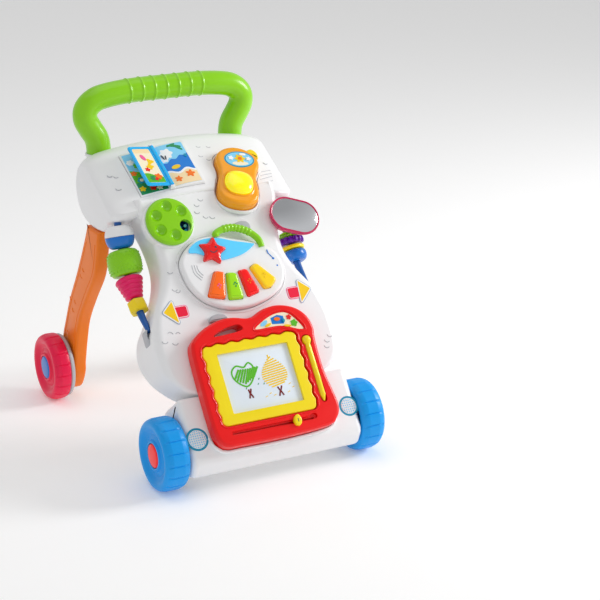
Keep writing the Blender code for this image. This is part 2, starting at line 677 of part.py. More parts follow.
def button(name, outline, top, colour):
    """A sprung button: a cap through the face and a wider flange under it."""
    cap = plate(name, outline, 0.0045, top, parent=panel, colour=colour)
    return boolean(cap, plate(name + "_flange", grown(outline, 0.0009), 0.0038, 0.0060, parent=panel),
                   "UNION")


def music_module():
    outline = MUSIC_OUTLINE
    case = plate("music_case", outline, -0.0060, MUSIC_FACE, parent=panel, colour=WHITE, roughness=0.25)
    boolean(case, plate("music_room", grown(outline, -0.0025), -0.0070, MUSIC_FACE - 0.0025, parent=panel))
    for name, corners in KEYS.items():
        boolean(case, plate(f"key_hole_{name}", grown(corners, 0.0004), 0.0, 0.02, parent=panel))
        button(f"key_{name}", corners, KEY_TOP, {"orange": AMBER, "green": LIME, "red": RED,
                                                 "yellow": YELLOW}[name])
    boolean(case, plate("star_hole", star_outline(0.0004), 0.0, 0.02, parent=panel))
    button("star_button", star_outline(), STAR_TOP, RED)
    back = plate("music_back", grown(outline, -0.0004), MUSIC_BACK, -0.0063, parent=panel, colour=WHITE)
    boolean(back, plate("back_room", grown(outline, -0.0029), MUSIC_BACK + 0.0035, 0.0, parent=panel))
    boolean(back, box("door_recess", (0.0045, 0.2895, -0.02), (0.0605, 0.3225, -0.0130), parent=panel))
    boolean(back, box("battery_room", (0.0080, 0.2930, -0.02), (0.0570, 0.3190, -0.0050), parent=panel))
    box("battery_door", (0.0048, 0.2898, MUSIC_BACK), (0.0602, 0.3222, -0.0133), parent=panel, colour=WHITE)
    box("circuit_board", (-0.0400, 0.2850, -0.0040), (0.0500, 0.3380, -0.0024), parent=panel,
        colour=BOARD_GREEN)
    cone = [(0, -0.0107), (0.0085, -0.0107), (0.0085, -0.0080), (0.0140, -0.0060), (0.0140, -0.0045),
            (0, -0.0045)]
    turned("speaker", cone, 20, parent=panel, matrix=Matrix.Translation((-0.0350, 0.3120, 0.0)), colour=GREY)
    wave()
    music_handle()


def wave():
    """The blue light window across the top of the module."""
    line = smooth([(-0.0560, 0.3520), (-0.0431, 0.3489), (-0.0200, 0.3370), (-0.0046, 0.3345),
                   (0.0232, 0.3388), (0.0440, 0.3500), (0.0400, 0.3535), (0.0133, 0.3615), (-0.0102, 0.3695),
                   (-0.0350, 0.3685), (-0.0520, 0.3600)], 2)
    window = plate("wave_window", line, MUSIC_FACE + GAP, MUSIC_FACE + 0.0020, parent=panel, colour=SKY)
    boolean(window, plate("star_hole_2", star_outline(0.0004), 0.0, 0.02, parent=panel))


MUSIC_GRIP_N = 0.0095


def music_handle():
    """The green ribbed carrying arc at the module's top edge, its ends turned into the case."""
    line = [(-0.0085, 0.3690), (-0.0085, 0.3745), (0.0020, 0.3790), (0.0169, 0.3800), (0.0315, 0.3758),
            (0.0440, 0.3680), (0.0530, 0.3570), (0.0545, 0.3450)]
    arc = smooth([(x, s, MUSIC_GRIP_N) for x, s in line], 2, closed=False)
    bar = tube("music_handle", arc, 0.0050, 10, parent=panel, colour=LIME)
    boolean(bar, plate("case_room", grown(MUSIC_OUTLINE, GAP), -0.01, MUSIC_FACE + 0.0023, parent=panel))


def latches():
    upper = mirrored([(0.0, 0.0), (0.0125, 0.0), (0.0125, 0.006), (0.0095, 0.0112), (0.0, 0.0135)])
    upper = [(x + 0.038, s + 0.3770) for x, s in upper]
    plate("latch_upper", upper, GAP, 0.0032, parent=panel, colour=GREY)
    lower = mirrored([(0.0, 0.0), (0.0135, 0.0), (0.0135, 0.006), (0.0105, 0.0105), (0.0, 0.0125)])
    lower = [(x - 0.039, s + 0.2502) for x, s in lower]
    plate("latch_lower", lower, GAP, 0.0080, parent=panel, colour=GREY)


# ---- drawing board ----
BOARD_POINTS = [
    (-0.0800, 0.0715), (0.0049, 0.0705), (0.0700, 0.0738), (0.0860, 0.0820), (0.0935, 0.0955),
    (0.0935, 0.1121), (0.0880, 0.1514), (0.0885, 0.1947), (0.0912, 0.2152), (0.0855, 0.2340),
    (0.0705, 0.2480), (0.0465, 0.2552), (0.0219, 0.2525), (0.0000, 0.2440), (-0.0250, 0.2485),
    (-0.0450, 0.2480), (-0.0700, 0.2400), (-0.0890, 0.2270), (-0.0965, 0.2130), (-0.0985, 0.1650),
    (-0.0985, 0.1090), (-0.0965, 0.0880), (-0.0905, 0.0765)]
FRAME_LOW, FRAME_HIGH = (-0.0830, 0.1000), (0.0610, 0.2135)
SCREEN_LOW, SCREEN_HIGH = (-0.0635, 0.1150), (0.0445, 0.2000)
PEN_LINE = 0.0738
TRACK_S = 0.0885
KNOB_X = 0.0242


def rectangle(low, high, corner=0.006, count=3):
    """A rectangle with round corners."""
    points = []
    for cx, cy, start in ((high[0] - corner, low[1] + corner, -90), (high[0] - corner, high[1] - corner, 0),
                          (low[0] + corner, high[1] - corner, 90), (low[0] + corner, low[1] + corner, 180)):
        for i in range(count + 1):
            angle = math.radians(start + 90 * i / count)
            points.append((cx + corner * math.cos(angle), cy + corner * math.sin(angle)))
    return points


def drawing_board():
    outline = smooth(BOARD_POINTS, 2)
    case = plate("board_case", outline, BOARD_BACK + 0.0027, BOARD_FACE, parent=panel, colour=RED)
    boolean(case, plate("board_room", grown(outline, -0.0028), 0.0, BOARD_FACE - 0.0025, parent=panel))
    slot = smooth([(-0.0610, 0.2255), (-0.0450, 0.2330), (-0.0300, 0.2362), (-0.0190, 0.2360),
                   (-0.0160, 0.2285), (-0.0370, 0.2255)], 2)
    boolean(case, plate("grip_wall", grown(slot, 0.0025), BOARD_BACK + 0.0027, BOARD_FACE - 0.001,
                        parent=panel), "UNION")
    boolean(case, plate("grip_slot", slot, -0.01, 0.03, parent=panel))
    groove = [(x + PEN_LINE, s + 0.1520) for s, x in stadium(0.0910, 0.0098, 6)]
    boolean(case, plate("pen_block", grown(groove, 0.0022), 0.0110, BOARD_FACE - 0.001, parent=panel),
            "UNION")
    boolean(case, plate("pen_groove", groove, 0.0134, 0.03, parent=panel))
    boolean(case, plate("pen_well", circle(PEN_LINE, 0.1975, 0.0082, 16), 0.0134, 0.03, parent=panel))
    boolean(case, plate("frame_hole", rectangle(FRAME_LOW, FRAME_HIGH), 0.010, 0.03, parent=panel))
    boolean(case, box("track", (-0.0740, TRACK_S - 0.0022, 0.01), (0.0520, TRACK_S + 0.0022, 0.03),
                      parent=panel))
    back = plate("board_back", outline, BOARD_BACK, BOARD_BACK + 0.0024, parent=panel, colour=RED)
    boolean(back, plate("grip_slot_back", slot, -0.01, 0.03, parent=panel))
    inner = (FRAME_LOW[0] + GAP, FRAME_LOW[1] + GAP), (FRAME_HIGH[0] - GAP, FRAME_HIGH[1] - GAP)
    frame = plate("board_frame", rectangle(*inner), 0.0168, 0.0208, parent=panel, colour=YELLOW)
    boolean(frame, plate("window", rectangle(SCREEN_LOW, SCREEN_HIGH, 0.002), 0.0, 0.03, parent=panel))
    box("board_screen", (-0.0720, 0.1070, 0.0135), (0.0530, 0.2080, 0.0165), parent=panel,
        colour=(0.75, 0.82, 0.88))
    knob = turned("eraser_slider", rod(0.0075, BOARD_FACE + 0.0005, BOARD_FACE + 0.0045), 20, parent=panel,
                  matrix=Matrix.Translation((KNOB_X, TRACK_S, 0)), colour=YELLOW)
    boolean(knob, box("slider_stem", (KNOB_X - 0.0017, TRACK_S - 0.0017, 0.0100),
                      (KNOB_X + 0.0017, TRACK_S + 0.0017, BOARD_FACE + 0.002), parent=panel), "UNION")
    boolean(knob, box("eraser_bar", (KNOB_X - 0.0030, TRACK_S - 0.0050, 0.0090),
                      (KNOB_X + 0.0030, 0.2050, 0.0115), parent=panel), "UNION")
    pen()


def pen():
    """The magnetic pen in its groove: a shaft with a tip at one end and a ball at the other."""
    profile = [(0, -0.0440), (0.0012, -0.0440), (0.0042, -0.0360), (0.0042, 0.0380), (0.0058, 0.0410),
               (0.0066, 0.0450), (0.0058, 0.0490), (0.0030, 0.0515), (0, 0.0520)]
    matrix = Matrix.Translation((PEN_LINE, 0.1522, 0.0205)) @ Matrix.Rotation(math.radians(-90), 4, "X")
    turned("pen", profile, 16, parent=panel, matrix=matrix, colour=YELLOW)


# ---- phone ----
def phone_outline():
    half = [(0.0, -0.0542), (0.0160, -0.0514), (0.0270, -0.0420), (0.0305, -0.0280), (0.0290, -0.0130),
            (0.0272, -0.0020), (0.0285, 0.0112), (0.0320, 0.0243), (0.0300, 0.0374), (0.0210, 0.0477),
            (0.0100, 0.0528), (0.0, 0.0542)]
    return mirrored(half)


DOME = (0.0, -0.0170)
DOME_R = 0.0222


def toy_phone():
    outline = phone_outline()
    shell = plate("phone_case", outline, -PHONE_THICK, 0.0, parent=handset, colour=AMBER)
    boolean(shell, plate("phone_room", grown(outline, -0.0025), -PHONE_THICK - 0.001, -0.0025,
                         parent=handset))
    boolean(shell, plate("dome_hole", circle(*DOME, DOME_R + 0.0006, 20), -0.01, 0.01, parent=handset))
    back = plate("phone_back", grown(outline, -0.0029), -PHONE_THICK, -PHONE_THICK + 0.0024, parent=handset,
                 colour=WHITE)
    profile = [(0, -0.0080), (DOME_R + 0.0018, -0.0080), (DOME_R + 0.0018, -0.0062), (DOME_R, -0.0062),
               (0.0214, 0.0012), (0.0160, 0.0068), (0.0080, 0.0090), (0, 0.0094)]
    turned("phone_button", profile, 20, parent=handset, matrix=Matrix.Translation((*DOME, 0)), colour=YELLOW)
    cradle = plate("phone_cradle", grown(outline, 0.0035), -0.0195, -0.0140, parent=handset, colour=WHITE)
    boolean(cradle, plate("phone_seat", grown(outline, 0.0006), -PHONE_THICK - GAP, 0.01, parent=handset))
    return back


# ---- flip book ----
PAGE_W, PAGE_L = 0.0400, 0.0780
SPINE_Z = 0.0048
BARREL_R = 0.0036


def flip_book():
    low = (-BOOK_LEFT, -BOOK_HALF, -BOOK_DEPTH)
    tray = box("book_tray", low, (BOOK_RIGHT, BOOK_HALF, 0.0), parent=book, colour=WHITE)
    for end in (-1, 1):
        lug = box(f"lug_{end}", (-0.0034, min(end * 0.0400, end * BOOK_HALF), -0.001),
                  (0.0034, max(end * 0.0400, end * BOOK_HALF), SPINE_Z + 0.0030), parent=book)
        boolean(tray, lug, "UNION")
    hinge = Matrix.Translation((0, 0, SPINE_Z)) @ Matrix.Rotation(math.radians(PAGE_OPEN), 4, "Y")
    page = box("book_page", (-PAGE_W, -PAGE_L / 2, -0.0012), (-0.001, PAGE_L / 2, 0.0012), parent=book,
               matrix=hinge, colour=SKY)
    barrel = turned("page_barrel", rod(BARREL_R, -PAGE_L / 2, PAGE_L / 2), 12, parent=book,
                    matrix=hinge @ Matrix.Rotation(math.radians(-90), 4, "X"))
    return boolean(page, barrel, "UNION")


# ---- assembly ----
main_panel()
panel_back()
base_beam()
rear_leg("rear_leg_left", -1)
rear_leg("rear_leg_right", 1)
axles()
for wheel_side, wheel_name in ((-1, "left"), (1, "right")):
    front_wheel(wheel_side, wheel_name)
    rear_wheel(wheel_side, wheel_name)
console_shell()
console_under()
handle()
rods_and_beads()
mirror()
dial()
music_module()
latches()
drawing_board()
toy_phone()
flip_book()
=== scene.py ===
import math

import bmesh
import bpy
from mathutils import Matrix, Vector


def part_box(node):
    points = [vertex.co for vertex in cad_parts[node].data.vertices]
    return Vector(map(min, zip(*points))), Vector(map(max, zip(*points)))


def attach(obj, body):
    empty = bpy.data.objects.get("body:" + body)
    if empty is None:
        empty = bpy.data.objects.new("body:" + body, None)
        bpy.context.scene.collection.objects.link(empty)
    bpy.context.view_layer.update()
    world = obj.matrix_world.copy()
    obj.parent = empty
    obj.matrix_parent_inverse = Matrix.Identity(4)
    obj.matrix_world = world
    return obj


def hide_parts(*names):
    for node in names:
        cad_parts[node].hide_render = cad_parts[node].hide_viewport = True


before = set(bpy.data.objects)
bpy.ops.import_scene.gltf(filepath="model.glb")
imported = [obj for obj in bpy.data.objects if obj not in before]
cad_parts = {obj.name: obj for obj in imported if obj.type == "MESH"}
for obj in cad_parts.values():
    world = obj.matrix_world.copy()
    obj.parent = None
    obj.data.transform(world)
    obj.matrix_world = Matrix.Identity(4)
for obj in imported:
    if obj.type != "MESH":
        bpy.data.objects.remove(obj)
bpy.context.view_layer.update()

# ---- driving dimensions ----
WALL = 0.003
SILL_S = 0.1545
CROWN = 0.96                    # the console's top drops CROWN * x * x
PHONE_THICK = 0.016
DIAL = (-0.069, 0.403)
MUSIC_FACE = 0.01
BOARD_FACE = 0.022
ROD_X, ROD_MID_S, ROD_HALF = 0.13, 0.3465, 0.0812
ROD_END_N, ROD_BOW = -0.0277, 0.018
BORE = 0.0056
ROD_HOLE = 0.0062
SKIN = 0.00025                  # thickness of a printed label
THIN_SKIN = 0.00007             # and of a page picture, which has more layers
LABEL_RIM = 0.00005             # how far a label's edge is rounded
FOLLOW_STEP = 0.004             # a label that follows a curve is cut this finely


def mm(rows):
    """Rows of millimetres as tuples of metres."""
    return [tuple(value / 1000 for value in row) for row in rows]


def turned_by(degrees, axis):
    return Matrix.Rotation(math.radians(degrees), 4, axis)


def moved(x, y, z=0.0):
    return Matrix.Translation((x, y, z))


PANEL = moved(0, -0.2743, 0) @ turned_by(53.5, "X")
CONSOLE = moved(0, -0.011, 0.36) @ turned_by(30, "X")
PHONE = moved(0, 0.007, 0.38) @ turned_by(36, "X")
HANDSET = PHONE @ moved(0.0555, -0.0145) @ turned_by(-20.5, "Z")
BOOK_X, BOOK_T = -0.0478, 0.0503
BOOK = (CONSOLE @ moved(BOOK_X, BOOK_T, 0.0015 - CROWN * BOOK_X ** 2) @ turned_by(1.5, "X")
        @ turned_by(1.5, "Z") @ turned_by(-7.5, "Y"))
BOOK_DEPTH = 0.0075
SIDEWAYS = Matrix(((0, 0, 1, 0), (1, 0, 0, 0), (0, 1, 0, 0), (0, 0, 0, 1)))


# ---- materials ----
def linear(colour):
    return [((c / 255 + 0.055) / 1.055) ** 2.4 if c > 10 else c / 255 / 12.92 for c in colour]


RICHER = 1.22                   # pigments are this much more saturated than the colours listed
CLOUD_SCALE, PEEL_SCALE = 22.0, 420.0
PEEL_HEIGHT = 0.00012


def plastic(name, colour, roughness=0.3, coat=0.3, metallic=0.0, tint=0.05, grain=0.25, glow=0.0,
            soft=0.0):
    """Moulded plastic: cloudy pigment, uneven polish and a fine orange-peel skin."""
    made = bpy.data.materials.new(name)
    made.use_nodes = True
    nodes, links = made.node_tree.nodes, made.node_tree.links
    shader = nodes["Principled BSDF"]
    where = nodes.new("ShaderNodeTexCoord")
    cloud = nodes.new("ShaderNodeTexNoise")
    cloud.inputs["Scale"].default_value = CLOUD_SCALE
    cloud.inputs["Detail"].default_value = 4.0
    skin = nodes.new("ShaderNodeTexNoise")
    skin.inputs["Scale"].default_value = PEEL_SCALE
    skin.inputs["Detail"].default_value = 2.0
    mix = nodes.new("ShaderNodeMix")
    mix.data_type = "RGBA"
    base = linear(colour)
    if not metallic:
        grey = sum(base) / 3
        base = [min(max(grey + (c - grey) * RICHER, 0.0), 1.0) for c in base]
    mix.inputs[6].default_value = (*[max(c * (1 - tint), 0) for c in base], 1)
    mix.inputs[7].default_value = (*[min(c * (1 + tint) + 0.004, 1) for c in base], 1)
    polish = nodes.new("ShaderNodeMapRange")
    polish.inputs["To Min"].default_value = roughness - 0.05
    polish.inputs["To Max"].default_value = roughness + 0.07
    bump = nodes.new("ShaderNodeBump")
    bump.inputs["Strength"].default_value = grain
    bump.inputs["Distance"].default_value = PEEL_HEIGHT
    links.new(where.outputs["Object"], cloud.inputs["Vector"])
    links.new(where.outputs["Object"], skin.inputs["Vector"])
    links.new(cloud.outputs["Fac"], mix.inputs[0])
    links.new(cloud.outputs["Fac"], polish.inputs["Value"])
    links.new(skin.outputs["Fac"], bump.inputs["Height"])
    links.new(mix.outputs[2], shader.inputs["Base Color"])
    links.new(polish.outputs["Result"], shader.inputs["Roughness"])
    links.new(bump.outputs["Normal"], shader.inputs["Normal"])
    shader.inputs["Metallic"].default_value = metallic
    shader.inputs["Coat Weight"].default_value = coat
    shader.inputs["Coat Roughness"].default_value = 0.12
    shader.inputs["Specular IOR Level"].default_value = 0.32
    # glow is emitted light: on the floor it keeps the floor evenly bright, on the hub, dome, keys and wave
    # window it is painted light
    if glow:
        shader.inputs["Emission Color"].default_value = (*base, 1)
        shader.inputs["Emission Strength"].default_value = glow
    if soft:
        shader.inputs["Subsurface Weight"].default_value = soft
        shader.inputs["Subsurface Scale"].default_value = 0.006
    return made


FINISHES = {
    "white": dict(colour=(243, 243, 244), roughness=0.32, tint=0.012, coat=0.2),
    "under_white": dict(colour=(226, 227, 230), roughness=0.42, tint=0.02, coat=0.0),
    # painted shade: a grey copy of the white, put on moulded marks, groove floors, the sill seam and the
    # music lines to stand for the shade they catch
    "relief_shade": dict(colour=(196, 198, 201), roughness=0.4, tint=0.04, coat=0.1),
    "lime": dict(colour=(140, 201, 52), roughness=0.3),
    # painted shade: a darker copy of the lime, put on the faces of the dial's hollow dimples
    "dimple_shade": dict(colour=(112, 176, 40), roughness=0.3),
    "orange": dict(colour=(243, 134, 20), roughness=0.42, coat=0.1, tint=0.08),
    "sky": dict(colour=(22, 160, 230), roughness=0.36, coat=0.0),
    "pink": dict(colour=(228, 42, 92), roughness=0.38, coat=0.15),
    "magenta": dict(colour=(226, 20, 112), roughness=0.34),
    "red": dict(colour=(230, 34, 36), roughness=0.3, coat=0.2),
    # painted light: the glow makes the hub give off light of its own, though it is no lamp
    "hub_red": dict(colour=(236, 52, 62), roughness=0.3, glow=0.12),
    "blue": dict(colour=(22, 118, 196), roughness=0.3),
    "deep_blue": dict(colour=(16, 92, 160), roughness=0.34),
    "grey": dict(colour=(186, 188, 192), roughness=0.42, coat=0.05),
    "yellow": dict(colour=(255, 222, 40), roughness=0.3, coat=0.35),
    "pale_yellow": dict(colour=(246, 216, 70), roughness=0.34),
    "purple": dict(colour=(104, 52, 160), roughness=0.34),
    "crimson": dict(colour=(190, 24, 92), roughness=0.26, coat=0.5),
    "amber": dict(colour=(255, 168, 4), roughness=0.28, coat=0.4),
    # painted light: glow on the dome, though it is no lamp
    "dome": dict(colour=(255, 232, 60), roughness=0.16, coat=0.8, glow=0.25, soft=0.3),
    "coral": dict(colour=(226, 62, 52), roughness=0.2, coat=0.6, soft=0.2),
    # painted light: glow on the keys, though they are no lamps
    "key_orange": dict(colour=(250, 118, 44), roughness=0.18, coat=0.6, glow=0.1),
    "key_green": dict(colour=(158, 214, 58), roughness=0.18, coat=0.6, glow=0.1),
    "key_red": dict(colour=(238, 44, 34), roughness=0.18, coat=0.6, glow=0.1),
    "key_yellow": dict(colour=(255, 208, 36), roughness=0.18, coat=0.6, glow=0.1),
    # painted light: glow on the wave window, though it is no lamp
    "wave": dict(colour=(120, 204, 246), roughness=0.16, coat=0.7, glow=0.12),
    "screen": dict(colour=(232, 240, 249), roughness=0.3, tint=0.02, coat=0.4),
    "page_blue": dict(colour=(34, 182, 238), roughness=0.26, coat=0.4),
    "mirror": dict(colour=(226, 228, 232), roughness=0.09, metallic=1.0, coat=0.0, tint=0.02, grain=0.1),
    "steel": dict(colour=(196, 198, 202), roughness=0.28, metallic=1.0, coat=0.0),
    "circuit": dict(colour=(28, 110, 56), roughness=0.4),
    "ink_white": dict(colour=(250, 250, 250), roughness=0.45, tint=0.02, coat=0.1),
    "ink_brown": dict(colour=(110, 28, 30), roughness=0.45, coat=0.1),
    "ink_dark": dict(colour=(64, 72, 84), roughness=0.45, coat=0.1),
}
PRINT_INKS = {"yellow": (255, 205, 12), "magenta": (228, 12, 84), "frost": (176, 190, 206),
              "pink": (240, 120, 165), "green": (96, 178, 60), "leaf": (52, 140, 92),
              "teal": (24, 146, 178), "sky": (150, 212, 244), "sea": (26, 128, 206),
              "sand": (250, 224, 184), "orange": (240, 128, 40), "red": (222, 58, 44),
              "cream": (253, 240, 214), "gold": (240, 204, 30)}
FINISHES.update({f"ink_{name}": dict(colour=colour, roughness=0.4, coat=0.2) for name,
                 colour in PRINT_INKS.items()})
SHADES = {name: plastic(name, **look) for name, look in FINISHES.items()}


# ---- outlines ----
def smooth(points, per=4, closed=True):
    """A smooth line through a few points (Catmull-Rom)."""
    count = len(points)
    result = []
    for i in range(count if closed else count - 1):
        if closed:
            a, b, c, d = (Vector(points[(i + k) % count]) for k in (-1, 0, 1, 2))
        else:
            a, b, c, d = (Vector(points[min(max(i + k, 0), count - 1)]) for k in (-1, 0, 1, 2))
        for j in range(per):
            t = j / per
            result.append(tuple(0.5 * (2 * b + (c - a) * t + (2 * a - 5 * b + 4 * c - d) * t * t
                                       + (3 * b - a - 3 * c + d) * t ** 3)))
    if not closed:
        result.append(tuple(points[-1]))
    return result


def grown(outline, by):
    """An outline moved outward by a distance (inward when it is negative)."""
    if not by:
        return list(outline)
    area = sum(a[0] * b[1] - b[0] * a[1] for a, b in zip(outline, outline[1:] + outline[:1]))
    side = 1 if area > 0 else -1
    result = []
    for i, point in enumerate(outline):
        before = (Vector(point) - Vector(outline[i - 1])).normalized()
        after = (Vector(outline[(i + 1) % len(outline)]) - Vector(point)).normalized()
        normal_a = Vector((before.y, -before.x)) * side
        normal_b = Vector((after.y, -after.x)) * side
        bend = (normal_a + normal_b) / max(1 + normal_a.dot(normal_b), 0.35)
        result.append(tuple(Vector(point) + bend * by))
    return result


def softened(points, radius, count=4):
    """The corners of an outline rounded with short arcs."""
    result = []
    for i, point in enumerate(points):
        corner = Vector(point)
        back = Vector(points[i - 1]) - corner
        ahead = Vector(points[(i + 1) % len(points)]) - corner
        reach = min(radius, back.length * 0.45, ahead.length * 0.45)
        start, end = corner + back.normalized() * reach, corner + ahead.normalized() * reach
        for j in range(count + 1):
            t = j / count
            result.append(tuple(start * (1 - t) ** 2 + corner * 2 * t * (1 - t) + end * t * t))
    return result


def mirrored(half):
    return list(half) + [(-x, y) for x, y in reversed(half) if x > 1e-6]


def ellipse(x, y, across, along=None, count=40, turn=0.0):
    along = across if along is None else along
    c, s = math.cos(math.radians(turn)), math.sin(math.radians(turn))
    points = []
    for i in range(count):
        a = 2 * math.pi * i / count
        u, v = across * math.cos(a), along * math.sin(a)
        points.append((x + u * c - v * s, y + u * s + v * c))
    return points


def petals(x, y, radius, lobes, depth, count=60, turn=0.0):
    """A round outline whose radius waves in and out."""
    points = []
    for i in range(count):
        a = 2 * math.pi * i / count
        r = radius * (1 + depth * math.cos(lobes * a + math.radians(turn)))
        points.append((x + r * math.cos(a), y + r * math.sin(a)))
    return points


def rectangle(low, high, corner=0.0):
    points = [(low[0], low[1]), (high[0], low[1]), (high[0], high[1]), (low[0], high[1])]
    return softened(points, corner) if corner else points


def stadium(length, width, count=16):
    radius = width / 2
    reach = length / 2 - radius
    half = [
        (reach + radius * math.sin(math.pi * i / count),
         -radius * math.cos(math.pi * i / count)) for i in range(count + 1)
    ]
    return half + [(-x, -y) for x, y in half]


# ---- solids ----
def fresh(name, bm, matrix=None):
    """An object from a mesh drawn in a local frame, put in place in the row frame."""
    bmesh.ops.remove_doubles(bm, verts=bm.verts, dist=1e-6)
    bmesh.ops.recalc_face_normals(bm, faces=bm.faces)
    bm.transform(matrix or Matrix())
    mesh = bpy.data.meshes.new(name)
    bm.to_mesh(mesh)
    bm.free()
    thing = bpy.data.objects.new(name, mesh)
    bpy.context.scene.collection.objects.link(thing)
    return thing


def edges(low, high, top=0.001, bottom=0.0006, steps=5):
    """The (inset, height) steps of a plate with rounded rims."""
    result = []
    for i in range(steps + 1):
        a = math.pi / 2 * i / steps
        result.append((bottom * (1 - math.sin(a)), low + bottom * (1 - math.cos(a))))
    for i in range(steps + 1):
        a = math.pi / 2 * i / steps
        result.append((top * (1 - math.cos(a)), high - top * (1 - math.sin(a))))
    return result


def skinned(bm, rings):
    """Joins rings of vertices with quads and caps the two ends."""
    for a, b in zip(rings, rings[1:]):
        for i in range(len(a)):
            j = (i + 1) % len(a)
            bm.faces.new((a[i], a[j], b[j], b[i]))
    bm.faces.new(rings[0])
    bm.faces.new(rings[-1])
    return bm


def loft(outline, steps):
    """Copies of an outline, each with its inset and height, skinned and capped.

    An inset or a height may be a function of the outline's own (x, y)."""
    bm = bmesh.new()
    rings = []
    inward = [(u - x, v - y) for (x, y), (u, v) in zip(outline, grown(outline, -1.0))]
    for inset, height in steps:
        ring = []
        for (x, y), (u, v) in zip(outline, inward):
            by = inset(x, y) if callable(inset) else inset
            ring.append(bm.verts.new((x + u * by, y + v * by,
                                      height(x, y) if callable(height) else height)))
        rings.append(ring)
    return skinned(bm, rings)


def slab(name, outline, low, high, top=0.001, bottom=0.0006, matrix=PANEL, steps=5):
    return fresh(name, loft(outline, edges(low, high, top, bottom, steps)), matrix)


def lathe(name, profile, matrix, steps=64, shape=None):
    """A (radius, height) profile turned about Z; shape(radius, height, angle) may bend it."""
    bm = bmesh.new()
    rows = []
    solid = profile[0][0] < 1e-6
    for i in range(steps):
        a = 2 * math.pi * i / steps
        row = []
        for r, z in profile:
            r2, z2 = shape(r, z, a) if shape and r > 1e-6 else (r, z)
            row.append(bm.verts.new((r2 * math.cos(a), r2 * math.sin(a), z2)))
        rows.append(row)
    for i, row in enumerate(rows):
        ahead = rows[(i + 1) % steps]
        last = len(row) if not solid else len(row) - 1
        for k in range(last):
            m = (k + 1) % len(row)
            bm.faces.new((row[k], ahead[k], ahead[m], row[m]))
    bmesh.ops.remove_doubles(bm, verts=bm.verts, dist=1e-6)
    bmesh.ops.dissolve_degenerate(bm, dist=1e-7, edges=bm.edges)
    return fresh(name, bm, matrix)


def sweep(name, points, radius, matrix=PANEL, sides=16, aside=(0, 0, 1), flat=1.0):
    """A round bar along points; radius may be a function of the distance along it."""
    path = [Vector(p) for p in points]
    bm = bmesh.new()
    rings = []
    travelled = 0.0
    for i, p in enumerate(path):
        if i:
            travelled += (p - path[i - 1]).length
        tangent = (path[min(i + 1, len(path) - 1)] - path[max(i - 1, 0)]).normalized()
        u = (Vector(aside) - tangent * tangent.dot(Vector(aside))).normalized()
        v = tangent.cross(u)
        r = radius(travelled) if callable(radius) else radius
        rings.append([bm.verts.new(p + u * r * flat * math.cos(2 * math.pi * k / sides)
                                   + v * r * math.sin(2 * math.pi * k / sides)) for k in range(sides)])
    return fresh(name, skinned(bm, rings), matrix)


def block(name, low, high, matrix=PANEL, corner=0.0008):
    """A box with softened upright edges and rims."""
    return slab(name, rectangle(low[:2], high[:2], corner * 2), low[2], high[2], corner, corner, matrix,
                3)


def globe(name, centre, radius, matrix=PANEL, count=28):
    bm = bmesh.new()
    bmesh.ops.create_uvsphere(bm, u_segments=count, v_segments=count // 2, radius=radius)
    return fresh(name, bm, matrix @ Matrix.Translation(centre))


def combine(target, others, operation="DIFFERENCE"):
    """Applies exact Booleans and removes the tools."""
    for other in others:
        step = target.modifiers.new("step", "BOOLEAN")
        step.object = other
        step.operation = operation
        step.solver = "EXACT"
    seen = target.evaluated_get(bpy.context.evaluated_depsgraph_get())
    mesh = bpy.data.meshes.new_from_object(seen)
    target.modifiers.clear()
    target.data = mesh
    for other in others:
        bpy.data.objects.remove(other)
    return target


def joined(name, things):
    """Several closed shapes as one mesh, each keeping its own material."""
    bm = bmesh.new()
    shades = []
    for thing in things:
        for shade in thing.data.materials:
            if shade not in shades:
                shades.append(shade)
        start = len(bm.faces)
        bm.from_mesh(thing.data)
        bm.faces.ensure_lookup_table()
        for face in bm.faces[start:]:
            if thing.data.materials:
                face.material_index = shades.index(thing.data.materials[face.material_index])
        bpy.data.objects.remove(thing)
    mesh = bpy.data.meshes.new(name)
    bm.to_mesh(mesh)
    bm.free()
    for shade in shades:
        mesh.materials.append(shade)
    result = bpy.data.objects.new(name, mesh)
    bpy.context.scene.collection.objects.link(result)
    return result


def dyed(thing, shade):
    thing.data.materials.clear()
    thing.data.materials.append(SHADES[shade])
    return thing


def finish(thing, name, body, shade=None, nodes=(), angle=38):
    """Names a piece, shades it smooth and puts it on its body in place of its CAD nodes."""
    thing.name = name
    thing.data.name = name
    if shade:
        dyed(thing, shade)
    thing.data.shade_smooth()
    thing.data.set_sharp_from_angle(angle=math.radians(angle))
    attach(thing, body)
    if nodes:
        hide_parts(*nodes)
    return thing


def label(name, body, layers, matrix, base, follow=None, skin=SKIN):
    """A printed label: thin closed layers, each one skin higher than the one before."""
    things = []
    for i, (outline, shade) in enumerate(layers):
        high = base + skin * (i + 1)
        bm = loft(outline, [(0, base), (0, high - LABEL_RIM), (LABEL_RIM, high)])
        if follow:
            for k in range(-14, 15):
                bmesh.ops.bisect_plane(bm, geom=bm.verts[:] + bm.edges[:] + bm.faces[:], dist=1e-7,
                                       plane_co=(k * FOLLOW_STEP, 0, 0), plane_no=(1, 0, 0))
            for vert in bm.verts:
                vert.co.z += follow(vert.co.x, vert.co.y)
        things.append(dyed(fresh(f"{name}_{i}", bm, matrix), shade))
    return finish(joined(name, things), name, body, angle=30)


